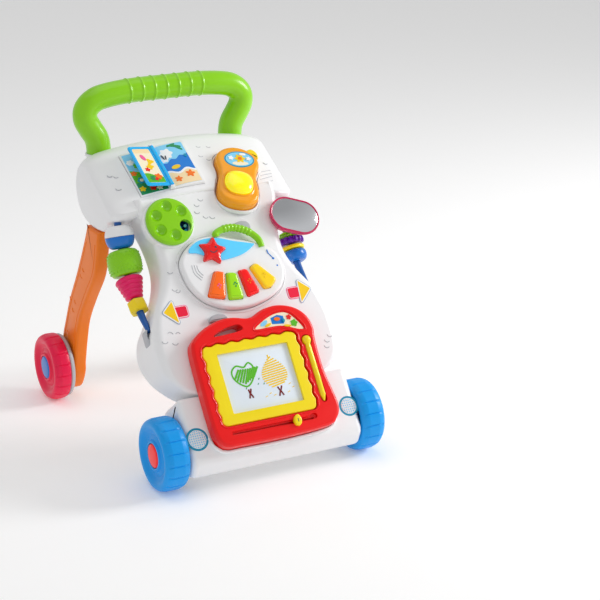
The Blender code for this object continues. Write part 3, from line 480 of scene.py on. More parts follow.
# ---- main panel ----
PANEL_HALF = [
    (0.0, SILL_S), (0.088, SILL_S), (0.106, 0.16), (0.122, 0.172), (0.1335, 0.192), (0.1362, 0.218),
    (0.134, 0.248), (0.1234, 0.28), (0.1065, 0.312), (0.0975, 0.337), (0.0955, 0.362), (0.0985, 0.39),
    (0.1035, 0.411), (0.1075, 0.425), (0.1075, 0.446)
]
PANEL_REAR = mm([
    (150, -51.5), (176, -51.5), (222.6, -80), (244.1, -83), (262, -78), (275, -60), (300, -52),
    (450, -52)
])
MUSIC_OUTLINE = smooth(mm([
    (-70.6, 343.6), (-72, 327.1), (-66.5, 303.3), (-51.5, 282.2), (-30, 269), (-7.9, 263.2),
    (18.1, 263.2), (49.7, 271.9), (69, 285), (79, 303), (79, 322), (70, 340), (46.8, 354), (13.3, 365),
    (-10.2, 372.5), (-36.6, 371.1), (-56.8, 360.4)
]), 8)
PHONE_HALF = mm([
    (0, -54.2), (16, -51.4), (27, -42), (30.5, -28), (29, -13), (27.2, -2), (28.5, 11.2), (32, 24.3),
    (30, 37.4), (21, 47.7), (10, 52.8), (0, 54.2)
])
PHONE_OUTLINE = smooth(mirrored(PHONE_HALF), 4)


def panel_outline():
    return mirrored(PANEL_HALF[:1] + smooth(PANEL_HALF[1:], 7, closed=False))


def rear_of_panel(x, s):
    line = smooth(PANEL_REAR, 6, closed=False)
    for (s0, n0), (s1, n1) in zip(line, line[1:]):
        if s <= s1:
            return n0 + (n1 - n0) * (s - s0) / (s1 - s0)
    return line[-1][1]


def rod_point(side, s):
    reach = (s - ROD_MID_S) / ROD_HALF
    return side * ROD_X, s, ROD_END_N - ROD_BOW * (1 - reach * reach)


def rod_path(side, low, high, count):
    return [rod_point(side, low + (high - low) * i / count) for i in range(count + 1)]


def cradle_room():
    return slab("cradle_room", grown(PHONE_OUTLINE, 0.004), -0.02, 0.04, 0.0, 0.0, HANDSET, 1)


def book_room():
    return slab("book_room", rectangle((-0.0484, -0.043), (0.0494, 0.043)), -BOOK_DEPTH - 0.0007, 0.02,
                0, 0, BOOK, 1)


def crescents(name, marks, matrix, height=lambda x, y: 0.0):
    """Small raised smile-shaped marks moulded in a surface, in a grey that is painted shade."""
    things = []
    for x, y, turn, radius in marks:
        line = []
        for k in range(13):
            a = math.radians(turn + 205 + 130 * k / 12)
            px, py = x + radius * math.cos(a), y + radius * math.sin(a)
            line.append((px, py, height(px, py) - 0.0001))
        things.append(sweep(f"mark_{len(things)}", line, lambda d: 0.0007, matrix, 8))
    return finish(dyed(joined(name, things), "relief_shade"), name, "chassis")


def panel_round(s):
    """How round the panel's front edge is, along its height."""
    table = mm([
        (155, 5), (175, 8), (200, 12.5), (255, 12.5), (285, 10.5), (310, 13.5), (340, 15), (365, 12),
        (385, 8), (450, 8)
    ])
    for (s0, r0), (s1, r1) in zip(table, table[1:]):
        if s <= s1:
            return r0 + (r1 - r0) * max(s - s0, 0.0) / (s1 - s0)
    return table[-1][1]


def main_panel():
    inner, outer = [], []
    for i in range(9):
        a = math.pi / 2 * i / 8
        flat, steep = 1 - math.cos(a), 1 - math.sin(a)
        inner.append((lambda x, s, k=flat: WALL + (panel_round(s) - WALL) * k, lambda x, s,
                      k=steep: -WALL - (panel_round(s) - WALL) * k))
        outer.append((lambda x, s, k=flat: panel_round(s) * k, lambda x, s,
                      k=steep: -panel_round(s) * k))
    steps = inner[::-1] + [(WALL, rear_of_panel), (0.0008, rear_of_panel),
                           (0.0, lambda x, s: rear_of_panel(x, s) + 0.0008)] + outer
    shell = fresh("shell", loft(panel_outline(), steps), PANEL)
    tools = [
        slab("pocket", grown(MUSIC_OUTLINE, 0.0008), -0.0155, 0.01, 0, 0, PANEL, 1),
        slab("dial_hole", ellipse(*DIAL, 0.0303, count=48), -0.01, 0.02, 0, 0, PANEL, 1), cradle_room(),
        book_room()
    ]
    for side in (-1, 1):
        tools.append(sweep("rod_hole", rod_path(side, 0.255, 0.3, 8), ROD_HOLE, PANEL))
    combine(shell, tools)
    finish(shell, "panel_shell", "chassis", "white", ["main_panel"], 32)
    dock = mm([(0, -15.5), (0, -0.6), (-2.6, -0.6), (-2.6, -19)])
    dock = fresh("dock", loft(grown(MUSIC_OUTLINE, 0.0006), dock), PANEL)
    finish(dock, "music_dock", "chassis", "under_white")
    rim = lathe("rim", mm([(30.5, -9), (30.5, 1.2), (33, 2.6), (35.2, 2.8), (36.6, 2.2), (37.4, 0.4),
                           (37.4, -9)]), PANEL @ moved(*DIAL), 80)
    finish(rim, "dial_rim", "chassis", "white")
    lip = [(x, s, -0.0001) for x, s in grown(MUSIC_OUTLINE, 0.0034)]
    lip = lip + lip[:2]
    finish(sweep("lip", lip, 0.0013, PANEL, 10), "music_lip", "chassis", "white")


def panel_marks():
    marks = [
        (-0.011, 0.433, -18, 0.0042), (-0.019, 0.4255, -18, 0.0042), (-0.0215, 0.415, -18, 0.0042),
        (-0.0105, 0.4065, -18, 0.0042), (-0.001, 0.4045, -18, 0.0042), (-0.0865, 0.334, -12, 0.004),
        (-0.087, 0.3085, -12, 0.0042), (-0.0835, 0.305, 10, 0.0036), (-0.122, 0.238, -14, 0.0046),
        (-0.108, 0.2335, -10, 0.0046), (-0.112, 0.244, 160, 0.004), (-0.101, 0.2425, 170, 0.0034),
        (0.123, 0.2055, -25, 0.0042), (0.1165, 0.1985, -25, 0.0042), (0.1135, 0.1905, -25, 0.0042)
    ]
    crescents("panel_marks", marks, PANEL)


# ---- bumper beam ----
def on_panel(s, n):
    point = PANEL @ Vector((0, s, n))
    return point.y, point.z


def base_beam():
    low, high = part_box("base_beam")
    profile = [
        on_panel(SILL_S - 0.0003, 0.0), on_panel(SILL_S - 0.0003, -0.0515), (-0.135, 0.084),
        (-0.135, 0.03), (-0.141, low.z), (-0.221, low.z), (-0.229, 0.027), (-0.236, 0.045),
        (-0.2348, 0.0535)
    ]
    outline = softened(profile, 0.007, 5)
    beam = slab("beam", outline, low.x, high.x, 0.009, 0.009, SIDEWAYS, 6)
    finish(beam, "beam_shell", "chassis", "white", ["base_beam"], 32)
    # the sill seam is a thin grey line of painted shade where the panel meets the beam
    seam = [(-0.093, SILL_S, 0.0001), (0.093, SILL_S, 0.0001)]
    finish(sweep("seam", smooth(seam, 6, False), 0.0004, PANEL, 6), "sill_seam", "chassis", "relief_shade")


# ---- rear legs and axles ----
LEG_REAR = mm([
    (95.5, 297.2), (97, 292), (117, 256), (144, 212), (177, 163), (198, 123), (210, 99), (217.5, 75),
    (220.5, 50.6), (217.5, 32), (210, 17.5), (199.5, 12.5)
])
LEG_FRONT = mm([
    (186.5, 16), (176, 28), (167, 46), (165, 62), (154, 100), (139, 138), (108, 180), (72, 224.5),
    (58.5, 264), (51, 297.2)
])


def rear_legs():
    outline = smooth(LEG_REAR + LEG_FRONT, 4, closed=False)
    for side, name in ((-1, "left"), (1, "right")):
        low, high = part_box(f"rear_leg_{name}")
        leg = slab("leg", outline, low.x, high.x, 0.0045, 0.0045, SIDEWAYS, 5)
        finish(leg, f"leg_{name}", "chassis", "orange", [f"rear_leg_{name}"], 32)
        face = low.x if side < 0 else high.x
        rims = []
        inner = grown(outline, -0.0085)
        line = [(face, y, z) for y, z in inner if z < 0.28]
        rims.append(sweep("line", line, 0.0007, Matrix(), 8, (1, 0, 0)))
        for y, z, turn in ((0.16, 0.15, 40), (0.15, 0.166, 40), (0.168, 0.166, 40), (0.112, 0.226, 40),
                           (0.122, 0.214, 40), (0.185, 0.108, 40)):
            arc = [
                (face, y + 0.004 * math.cos(math.radians(turn + 200 + 12 * k)),
                 z + 0.004 * math.sin(math.radians(turn + 200 + 12 * k))) for k in range(12)
            ]
            rims.append(sweep("arc", arc, 0.0007, Matrix(), 8, (1, 0, 0)))
        finish(joined("leg_marks", rims), f"leg_marks_{name}", "chassis", "orange")


# ---- wheels ----
FRONT_WIDTH, REAR_WIDTH = 0.037, 0.0253
TREAD_BARS, TREAD_DEPTH, TYRE_STEPS = 18, 0.0013, 216


def tread(count, depth, top_r, half_width):
    """Grooves pressed across a tyre; each starts and ends with a short hook round the wheel."""
    pitch = 2 * math.pi / count

    def shape(r, z, a):
        if r < top_r * 0.9:
            return r, z
        place = (a / pitch) % 1.0
        across = abs(z + half_width)
        bar = max(0.0, 1 - abs(place - 0.5) / 0.07) if across < half_width * 0.8 else 0.0
        hook = 1.0 if half_width * 0.58 < across < half_width * 0.8 and 0.5 <= place < 0.66 else 0.0
        return r - depth * min(1.0, max(min(bar * 2.2, 1.0), hook)), z
    return shape


def wheel_frame(name, side):
    low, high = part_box(name)
    centre = (low + high) / 2
    face = low.x if side < 0 else high.x
    return Matrix.Translation((face, centre.y, centre.z)) @ turned_by(90 * side,
            "Y"), (high.z - low.z) / 2


def tyre_profile(bore, radius, width, inner):
    """A dished outer side, a rounded tread and what the inner side needs; height 0 is outside."""
    outer = [
        (bore, -0.006), (0.0172, -0.006), (0.0176, -0.0014), (0.019, -0.0008), (0.0205, -0.0012),
        (0.0225, -0.004), (0.029, -0.0062), (0.0345, -0.0045), (0.0375, -0.0016), (0.04, -0.0004),
        (0.0435, 0.0), (0.0462, -0.001), (0.0482, -0.0032), (0.0496, -0.0062), (0.0503, -0.0095)
    ]
    count = 16
    first, last = -0.0105, -width + 0.0105
    belly = [(radius, first + (last - first) * i / count) for i in range(count + 1)]
    return outer + belly + inner


def wheels():
    for side, name in ((-1, "left"), (1, "right")):
        place, radius = wheel_frame(f"front_tyre_{name}", side)
        w = FRONT_WIDTH
        inner = [
            (0.0503, -w + 0.0095), (0.0496, -w + 0.0062), (0.0482, -w + 0.0032), (0.0462, -w + 0.001),
            (0.044, -w), (0.04, -w), (0.039, -w + 0.0015), (0.038, -0.015), (0.036, -0.013),
            (0.011, -0.013), (0.01, -0.014), (0.01, -w + 0.005), (0.0034, -w + 0.005)
        ]
        profile = tyre_profile(0.0034, radius, w, inner)
        tyre = lathe("tyre", profile, place, TYRE_STEPS, tread(TREAD_BARS, TREAD_DEPTH, radius, w / 2))
        finish(tyre, f"tyre_front_{name}", f"front_wheel_{name}", "sky", [f"front_tyre_{name}"], 30)
        hub = mm([
            (0, -5.7), (16.6, -5.7), (16.9, -5), (16.9, -2.6), (16, -1.2), (14, -0.5), (10, -0.2),
            (0, 0)
        ])
        finish(lathe("hub", hub, place, 64), f"hub_front_{name}", f"front_wheel_{name}", "hub_red",
               [f"front_hub_{name}"])
        ribs = []
        for k in range(6):
            a = 2 * math.pi * k / 6
            ribs.append(block("rib", (0.0098, -0.001, -0.032), (0.0384, 0.001, -0.0128),
                              place @ Matrix.Rotation(a, 4, "Z"), 0.0003))
        finish(joined("ribs", ribs), f"ribs_front_{name}", f"front_wheel_{name}", "sky")

        place, radius = wheel_frame(f"rear_tyre_{name}", side)
        w = REAR_WIDTH
        inner = [
            (0.0504, -w + 0.006), (0.05, -w + 0.003), (0.049, -w + 0.0008), (0.0475, -w), (0.0044, -w)
        ]
        profile = [(0.0044, -0.006)] + tyre_profile(0.0044, radius, w, inner)[1:]
        tyre = lathe("tyre", profile, place, TYRE_STEPS, tread(TREAD_BARS, TREAD_DEPTH, radius, w / 2))
        finish(tyre, f"tyre_rear_{name}", f"rear_wheel_{name}", "pink", [f"rear_tyre_{name}"], 30)
        hub = [(r * 1.03, z) for r, z in hub]
        finish(lathe("hub", hub, place, 64), f"hub_rear_{name}", f"rear_wheel_{name}", "blue",
               [f"rear_hub_{name}"])
        low = -w - 0.0003
        ring = [
            (0.0044, low), (0.047, low), (0.0482, low - 0.001), (0.0482, low - 0.0036),
            (0.047, low - 0.0056), (0.0445, low - 0.0072), (0.034, low - 0.0074),
            (0.0318, low - 0.0062), (0.03, low - 0.003), (0.013, low - 0.003), (0.0118, low - 0.0042),
            (0.0115, low - 0.0074), (0.0044, low - 0.0074)
        ]
        finish(lathe("ring", ring, place, 96), f"ring_rear_{name}", f"rear_wheel_{name}", "grey",
               [f"rear_ring_{name}"])


# ---- console ----
CONSOLE_PROFILE = [
    (0.1037, -0.0004, 1.0), (0.1214, -0.013, 1.0), (0.1292, -0.04, 0.7), (0.124, -0.072, 0.3),
    (0.1061, -0.0982, 0.0), (0.0814, -0.107, 0.0), (0.0452, -0.099, 0.0), (0.0073, -0.0745, 0.0),
    (-0.002, -0.042, 0.5)
]
CONSOLE_STATIONS = [
    (0.0, 1.0), (0.02, 1.0), (0.04, 1.0), (0.06, 1.0), (0.08, 1.0), (0.095, 1.0), (0.108, 0.996),
    (0.118, 0.987), (0.126, 0.971), (0.132, 0.948), (0.1365, 0.914), (0.1395, 0.872), (0.141, 0.828),
    (0.1415, 0.77)
]
CONSOLE_SPLIT = 0.3045


def console_lip(x):
    return -0.0015 - 0.015 * min(abs(x) / 0.11, 1.0) ** 2


def console_body(name):
    """The console lofted across X through scaled copies of its side profile."""
    half = smooth(CONSOLE_STATIONS, 3, closed=False)
    bm = bmesh.new()
    rings = []
    for x, scale in [(-x, k) for x, k in reversed(half[1:])] + half:
        drop = CROWN * x * x
        corners = [(console_lip(x), -drop)] + [(t, n - drop * share) for t, n,
                                               share in reversed(CONSOLE_PROFILE)]
        middle = sum((Vector(c) for c in corners), Vector((0, 0))) / len(corners)
        front = console_lip(x)
        ring = [
            (front + 0.006, -drop), (front + 0.0022, -drop - 0.0008), (front, -drop - 0.0034),
            (front + 0.0004, -drop - 0.012)
        ]
        ring += corners[1:-1] + [(0.113, -0.0048 - drop), corners[-1], (0.092, 0.0002 - drop)]
        ring += [(t, 0.0002 * (t / 0.09) - drop) for t in (0.07, 0.045, 0.02)]
        ring = [middle + (Vector(point) - middle) * scale for point in smooth(ring, 4)]
        rings.append([bm.verts.new((x, point.x, point.y)) for point in ring])
    return fresh(name, skinned(bm, rings), CONSOLE)


def crown_height(x, t):
    return -CROWN * x * x


def console():
    shell = console_body("console")
    floors = []
    tools = [
        block("below", (-0.2, -0.2, 0.2), (0.2, 0.3, CONSOLE_SPLIT), Matrix()), cradle_room(),
        book_room()
    ]
    for t0, x0, t1, x1 in ((0.0265, 0.1021, 0.0312, 0.1207), (0.0183, 0.0968, 0.0245, 0.1195),
                           (0.0099, 0.092, 0.0181, 0.1173), (0.0012, 0.0885, 0.0088, 0.1143)):
        line = []
        for k in range(9):
            x, t = x0 + (x1 - x0) * k / 8, t0 + (t1 - t0) * k / 8
            line.append((x, t, crown_height(x, t) + 0.0004))
        tools.append(sweep("groove", line, 0.0013, CONSOLE, 8))
        # a grey bar along each groove floor is painted shade in the groove
        floors.append(sweep("groove_floor", [(x, t, n - 0.0015) for x, t, n in line], 0.0008, CONSOLE,
                            8))
    combine(shell, tools)
    finish(dyed(joined("floors", floors), "relief_shade"), "console_lines", "chassis")
    finish(shell, "console_top", "chassis", "white", ["console_shell"], 34)
    lid = combine(console_body("lid"), [block("above", (-0.2, -0.2, CONSOLE_SPLIT - 0.0006),
                                              (0.2, 0.3, 0.5), Matrix())])
    finish(lid, "console_lid", "chassis", "white", ["console_under"], 34)
    marks = [
        (-0.119, 0.063, -30, 0.004), (-0.112, 0.0575, -30, 0.0034), (-0.1165, 0.035, -30, 0.0042),
        (0.0199, 0.0654, -20, 0.0034), (0.0287, 0.057, -20, 0.0034), (0.0394, 0.083, -20, 0.0034),
        (0.024, 0.085, -20, 0.0034), (0.119, 0.047, -20, 0.0036)
    ]
    crescents("console_marks", marks, CONSOLE, crown_height)


# ---- handle ----
HANDLE_HALF = mm([
    (105, 362), (105, 398), (108, 416), (116.5, 430.5), (123.5, 444.5), (122.5, 458.5), (112, 469.5),
    (95, 475.5), (56, 479.5), (0, 480)
])


def handle():
    low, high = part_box("handle")
    y = (low.y + high.y) / 2
    radius = (high.y - low.y) / 2
    coarse = smooth([(-x, z) for x, z in HANDLE_HALF] + [(x, z) for x, z in reversed(HANDLE_HALF[:-1])],
                    40, False)
    rings_at = [-0.058 + 0.0188 * k for k in range(7)]
    path = [(x, y, z) for x, z in coarse]
    lengths = [0.0]
    for a, b in zip(path, path[1:]):
        lengths.append(lengths[-1] + (Vector(b) - Vector(a)).length)
    marks = []
    for ring in rings_at:
        k = min((k for k in range(len(path)) if path[k][2] > 0.47),
                key=lambda k: abs(path[k][0] - ring))
        marks.append(lengths[k])

    def bulge(travelled):
        ridge = sum(math.exp(-((travelled - at) / 0.0013) ** 2) for at in marks)
        return radius * 0.985 + 0.0011 * ridge
    bar = sweep("bar", path, bulge, Matrix(), 40, (0, 1, 0))
    finish(bar, "push_handle", "chassis", "lime", ["handle"], 50)
    for side in (-1, 1):
        collar = lathe("collar", mm([(17.8, 0), (20, 0), (20, 3), (19, 4), (17.8, 4)]),
                       Matrix.Translation((side * 0.105, y, 0.3905)), 48)
        finish(collar, f"post_collar_{'left' if side < 0 else 'right'}", "chassis", "white")


# ---- bead rods ----
def on_rod(side, s):
    slope = 2 * ROD_BOW * (s - ROD_MID_S) / ROD_HALF ** 2
    turn = Matrix.Rotation(math.atan(slope) - math.radians(90), 4, "X")
    return PANEL @ Matrix.Translation(rod_point(side, s)) @ turn


def rounded_bead(bore, points, per=4):
    """A bored bead's profile with its outer side smoothed; points run from low to high."""
    return [(bore, points[0][1])] + smooth(points, per, closed=False) + [(bore, points[-1][1])]


def rods():
    for side, name in ((-1, "left"), (1, "right")):
        def thickness(travelled, side=side):
            return 0.0032 + 0.002 * min(travelled / 0.03, 1.0) ** 0.8
        rod = sweep("rod", rod_path(side, 0.261, 0.436, 60), thickness, PANEL, 20)
        finish(rod, f"bead_rod_{name}", "chassis", "deep_blue", [f"rod_{name}"])
        x, s, n = rod_point(side, 0.262)
        clip = block("clip", (x - 0.0065, 0.24, n - 0.014), (x + 0.0065, 0.2645, n + 0.005), PANEL,
                     0.0025)
        combine(clip, [sweep("clip_hole", rod_path(side, 0.25, 0.29, 8), 0.006, PANEL)])
        finish(clip, f"rod_clip_{name}", "chassis", "grey")


def beads():
    ball = rounded_bead(BORE, mm([(11.8, -16.5), (16, -14), (19.2, -8.5), (20.7, 0), (19.2, 8.5),
                                  (16, 13.8), (11.8, 16)]))
    lower = [(BORE, ball[0][1])] + [p for p in ball[1:-1] if p[1] < 0.0006] + [(0.0207, 0.0006),
            (BORE, 0.0006)]
    upper = [(BORE, 0.001), (0.0206, 0.001)] + [p for p in ball[1:-1] if p[1] > 0.0014] + [ball[-1]]
    place = on_rod(-1, 0.4055)
    finish(lathe("ball", lower, place, 64), "ball_lower", "ball_bead", "blue", ["bead_ball"])
    finish(lathe("ball", upper, place, 64), "ball_upper", "ball_bead", "white")

    barrel = mm([
        (16, -18), (19.5, -16.8), (21.8, -13), (23.6, -7), (24.1, 0), (23.6, 7), (22, 13.6),
        (19.6, 17.2), (16, 18.5)
    ])
    place = on_rod(-1, 0.3685)
    body = lathe("barrel", rounded_bead(BORE, barrel), place, 72)
    things = [body]
    for row in range(7):
        z = -0.0126 + 0.0042 * row
        r = 0.024 - 6.5 * z * z - 0.0002
        for k in range(22):
            a = 2 * math.pi * (k + 0.5 * (row % 2)) / 22
            things.append(globe("dot", (r * math.cos(a), r * math.sin(a), z), 0.0009, place, 8))
    finish(joined("barrel", things), "barrel", "barrel_bead", "lime", ["bead_barrel"])

    cone = []
    for rib in range(5):
        z0 = -0.0155 + 0.006 * rib
        r = 0.0118 + 0.0017 * rib
        cone += [
            (r - 0.0012, z0), (r + 0.0006, z0 + 0.0012), (r + 0.0011, z0 + 0.003),
            (r + 0.0006, z0 + 0.0048)
        ]
    cone += [(0.0175, 0.0146), (0.015, 0.015)]
    cone = [(BORE, -0.016), (0.01, -0.016)] + smooth(cone, 3, False) + [(BORE, 0.015)]
    finish(lathe("cone", cone, on_rod(-1, 0.331), 64), "cone", "cone_bead", "magenta", ["bead_cone"],
           50)

    place = on_rod(-1, 0.3025)
    six = softened([
        (0.014 * math.cos(math.pi * k / 3), 0.014 * math.sin(math.pi * k / 3)) for k in range(6)
    ], 0.0022, 3)
    nut = slab("hex", six, -0.0085, 0.0085, 0.0018, 0.0018, place, 4)
    combine(nut, [lathe("bore", [(0, -0.02), (BORE, -0.02), (BORE, 0.02), (0, 0.02)], place, 32)])
    finish(nut, "hex", "hex_bead", "pale_yellow", ["bead_hex"])


def right_toys():
    place = on_rod(1, 0.3635)

    def teeth(r, z, a):
        return (r + 0.0013 * math.tanh(3 * math.sin(15 * a)), z) if r > 0.013 else (r, z)
    gear = [
        (BORE, -0.005), (0.012, -0.005), (0.0165, -0.0046), (0.018, -0.003), (0.0184, 0.0),
        (0.018, 0.003), (0.0165, 0.0046), (0.012, 0.005), (BORE, 0.005)
    ]
    finish(lathe("gear", gear, place, 180, teeth), "gear", "gear_toy", "purple", ["toy_gear"], 50)
    ring = [
        (BORE, 0.0052), (0.012, 0.0052), (0.0148, 0.0058), (0.0158, 0.0072), (0.015, 0.0088),
        (0.0122, 0.0094), (0.0125, 0.01), (0.0138, 0.011), (0.0136, 0.0124), (0.0118, 0.0134),
        (BORE, 0.0136)
    ]

    def frill(r, z, a):
        return (r + 0.0006 * math.sin(15 * a), z) if r > 0.012 else (r, z)
    finish(lathe("frill", ring, place, 120, frill), "gear_frill", "gear_toy", "lime")
    ring = rounded_bead(BORE, mm([(14.5, -3.1), (17, -2.2), (17.7, 0), (17, 2.2), (14.5, 3.1)]))
    finish(lathe("ring", ring, on_rod(1, 0.3525), 64), "ring_yellow", "yellow_ring", "yellow",
           ["toy_ring_yellow"])
    ring = rounded_bead(BORE, mm([(12, -8), (15.2, -6.2), (17.4, -2), (17.8, 3), (16.8, 6.2),
                                  (14, 7.4)]))
    finish(lathe("ring", ring, on_rod(1, 0.34), 64), "ring_blue", "blue_ring", "blue",
           ["toy_ring_blue"])


def mirror():
    matrix = PANEL @ moved(0.1195, 0.3835) @ turned_by(-21.5, "Z")
    steps = mm([
        (5.2, -4), (4, -3.6), (0.8, 5), (0, 8.5), (0, 10.4), (0.6, 11.6), (1.4, 12), (2.4, 11.7),
        (3, 11)
    ])
    back = fresh("back", loft(stadium(0.076, 0.0525, 24), steps), matrix)
    s = 0.389
    arm = block("arm", (0.1235, s - 0.008, -0.036), (0.1365, s + 0.008, 0.001), PANEL, 0.0012)
    sleeve = lathe("sleeve", [(BORE, -0.011), (0.0078, -0.011), (0.0085, -0.0102), (0.0085, 0.0102),
                              (0.0078, 0.011), (BORE, 0.011)], on_rod(1, s), 32)
    combine(arm, [lathe("bore", [(0, -0.02), (BORE + 0.001, -0.02), (BORE + 0.001, 0.02), (0, 0.02)],
                        on_rod(1, s), 32)])
    finish(joined("mirror_case", [back, arm, sleeve]), "mirror_case", "mirror_toy", "crimson",
           ["mirror_frame"])
    glass = slab("glass", stadium(0.07, 0.0465, 24), 0.0104, 0.0113, 0.0003, 0.0, matrix, 2)
    finish(glass, "mirror_face", "mirror_toy", "mirror", ["mirror_glass"])


# ---- rattle dial ----
HOLE_RING, WINDOW_TURN = 0.0222, -27


def dial():
    place = PANEL @ moved(*DIAL)
    cup = mm([
        (0, -14.5), (29, -14.5), (29.5, -14), (29.5, -5.6), (34.5, -5.6), (34.5, -3.3), (27.5, -3.3),
        (27.5, -12), (4, -12), (4, 7), (0, 7)
    ])
    cup = combine(lathe("cup", cup, place, 64), [fresh("inside",
                                                       loft(grown(panel_outline(), -WALL - 0.0003),
            [(0, -0.03), (0, 0.02)]), PANEL)], "INTERSECT")
    finish(cup, "rattle_cup", "chassis", "deep_blue", ["dial_cup"])
    cap = mm([
        (0, 7.5), (4.4, 7.5), (4.4, 3.1), (34, 3.1), (34.7, 3.6), (35, 4.8), (34.9, 6.8), (34.4, 8.2),
        (33.4, 9.2), (31.8, 9.8), (28, 10.3), (20, 10.8), (10, 11.3), (0, 11.5)
    ])
    knob = lathe("knob", cap, place, 96)
    tools = []
    for i in range(6):
        angle = math.radians(WINDOW_TURN + 60 * i)
        x, s = HOLE_RING * math.cos(angle), HOLE_RING * math.sin(angle)
        if i:
            # the dimple tools carry the darker green into the hollows they cut, as painted shade
            tools.append(dyed(globe("dimple_shade", (x, s, 0.015), 0.01, place, 36), "dimple_shade"))
        else:
            tools.append(slab("window", ellipse(x, s, 0.0088), 0.0, 0.02, 0, 0, place, 1))
    dyed(knob, "lime")
    combine(knob, tools)
    finish(knob, "dial_knob", "rattle_dial", None, ["dial"], 40)
    angle = math.radians(WINDOW_TURN)
    centre = Vector((HOLE_RING * math.cos(angle), HOLE_RING * math.sin(angle), -0.001))
    spots = [
        ((-0.004, 0.0018), "blue"), ((0.003, -0.0042), "sky"), ((0.004, 0.003), "ink_sky"),
        ((-0.003, -0.005), "deep_blue")
    ]
    pebbles = [
        dyed(globe("pebble", centre + Vector((*spot, 0.0)), 0.0026, place, 16), shade) for spot,
        shade in spots
    ]
    finish(joined("pebbles", pebbles), "rattle_beads", "rattle_dial")


# ---- music module ----
STAR = (-0.0219, 0.3494)
STAR_R = 0.0208
STAR_FACE, KEY_FACE = 0.017, 0.01575
KEYS = {
    "orange": mm([(-27.9, 320.5), (-13.4, 316.6), (-22.8, 277.4), (-47.8, 284.9)]),
    "green": mm([(-11.3, 315.4), (3.6, 313), (4.6, 274.1), (-18.4, 275.9)]),
    "red": mm([(7.2, 315.7), (20.6, 316.7), (31.4, 280.2), (11, 275.2)]),
    "yellow": mm([(25.8, 317.5), (37, 323), (61.5, 294.4), (49.5, 283.2), (38.4, 283.2)]),
}
WAVE = mm([
    (-56, 352), (-43.1, 348.9), (-20, 337), (-4.6, 334.5), (23.2, 338.8), (43, 349.5), (38.5, 352.6),
    (13.3, 359.8), (-10.2, 367.8), (-35, 368), (-52, 360)
])


def star_outline(radius, valley=0.61, per=6):
    points = []
    for i in range(10):
        angle = math.radians(74 + 36 * i)
        reach = radius * (1.0 if i % 2 == 0 else valley)
        points.append((STAR[0] + reach * math.cos(angle), STAR[1] + reach * math.sin(angle)))
    return smooth(points, per)


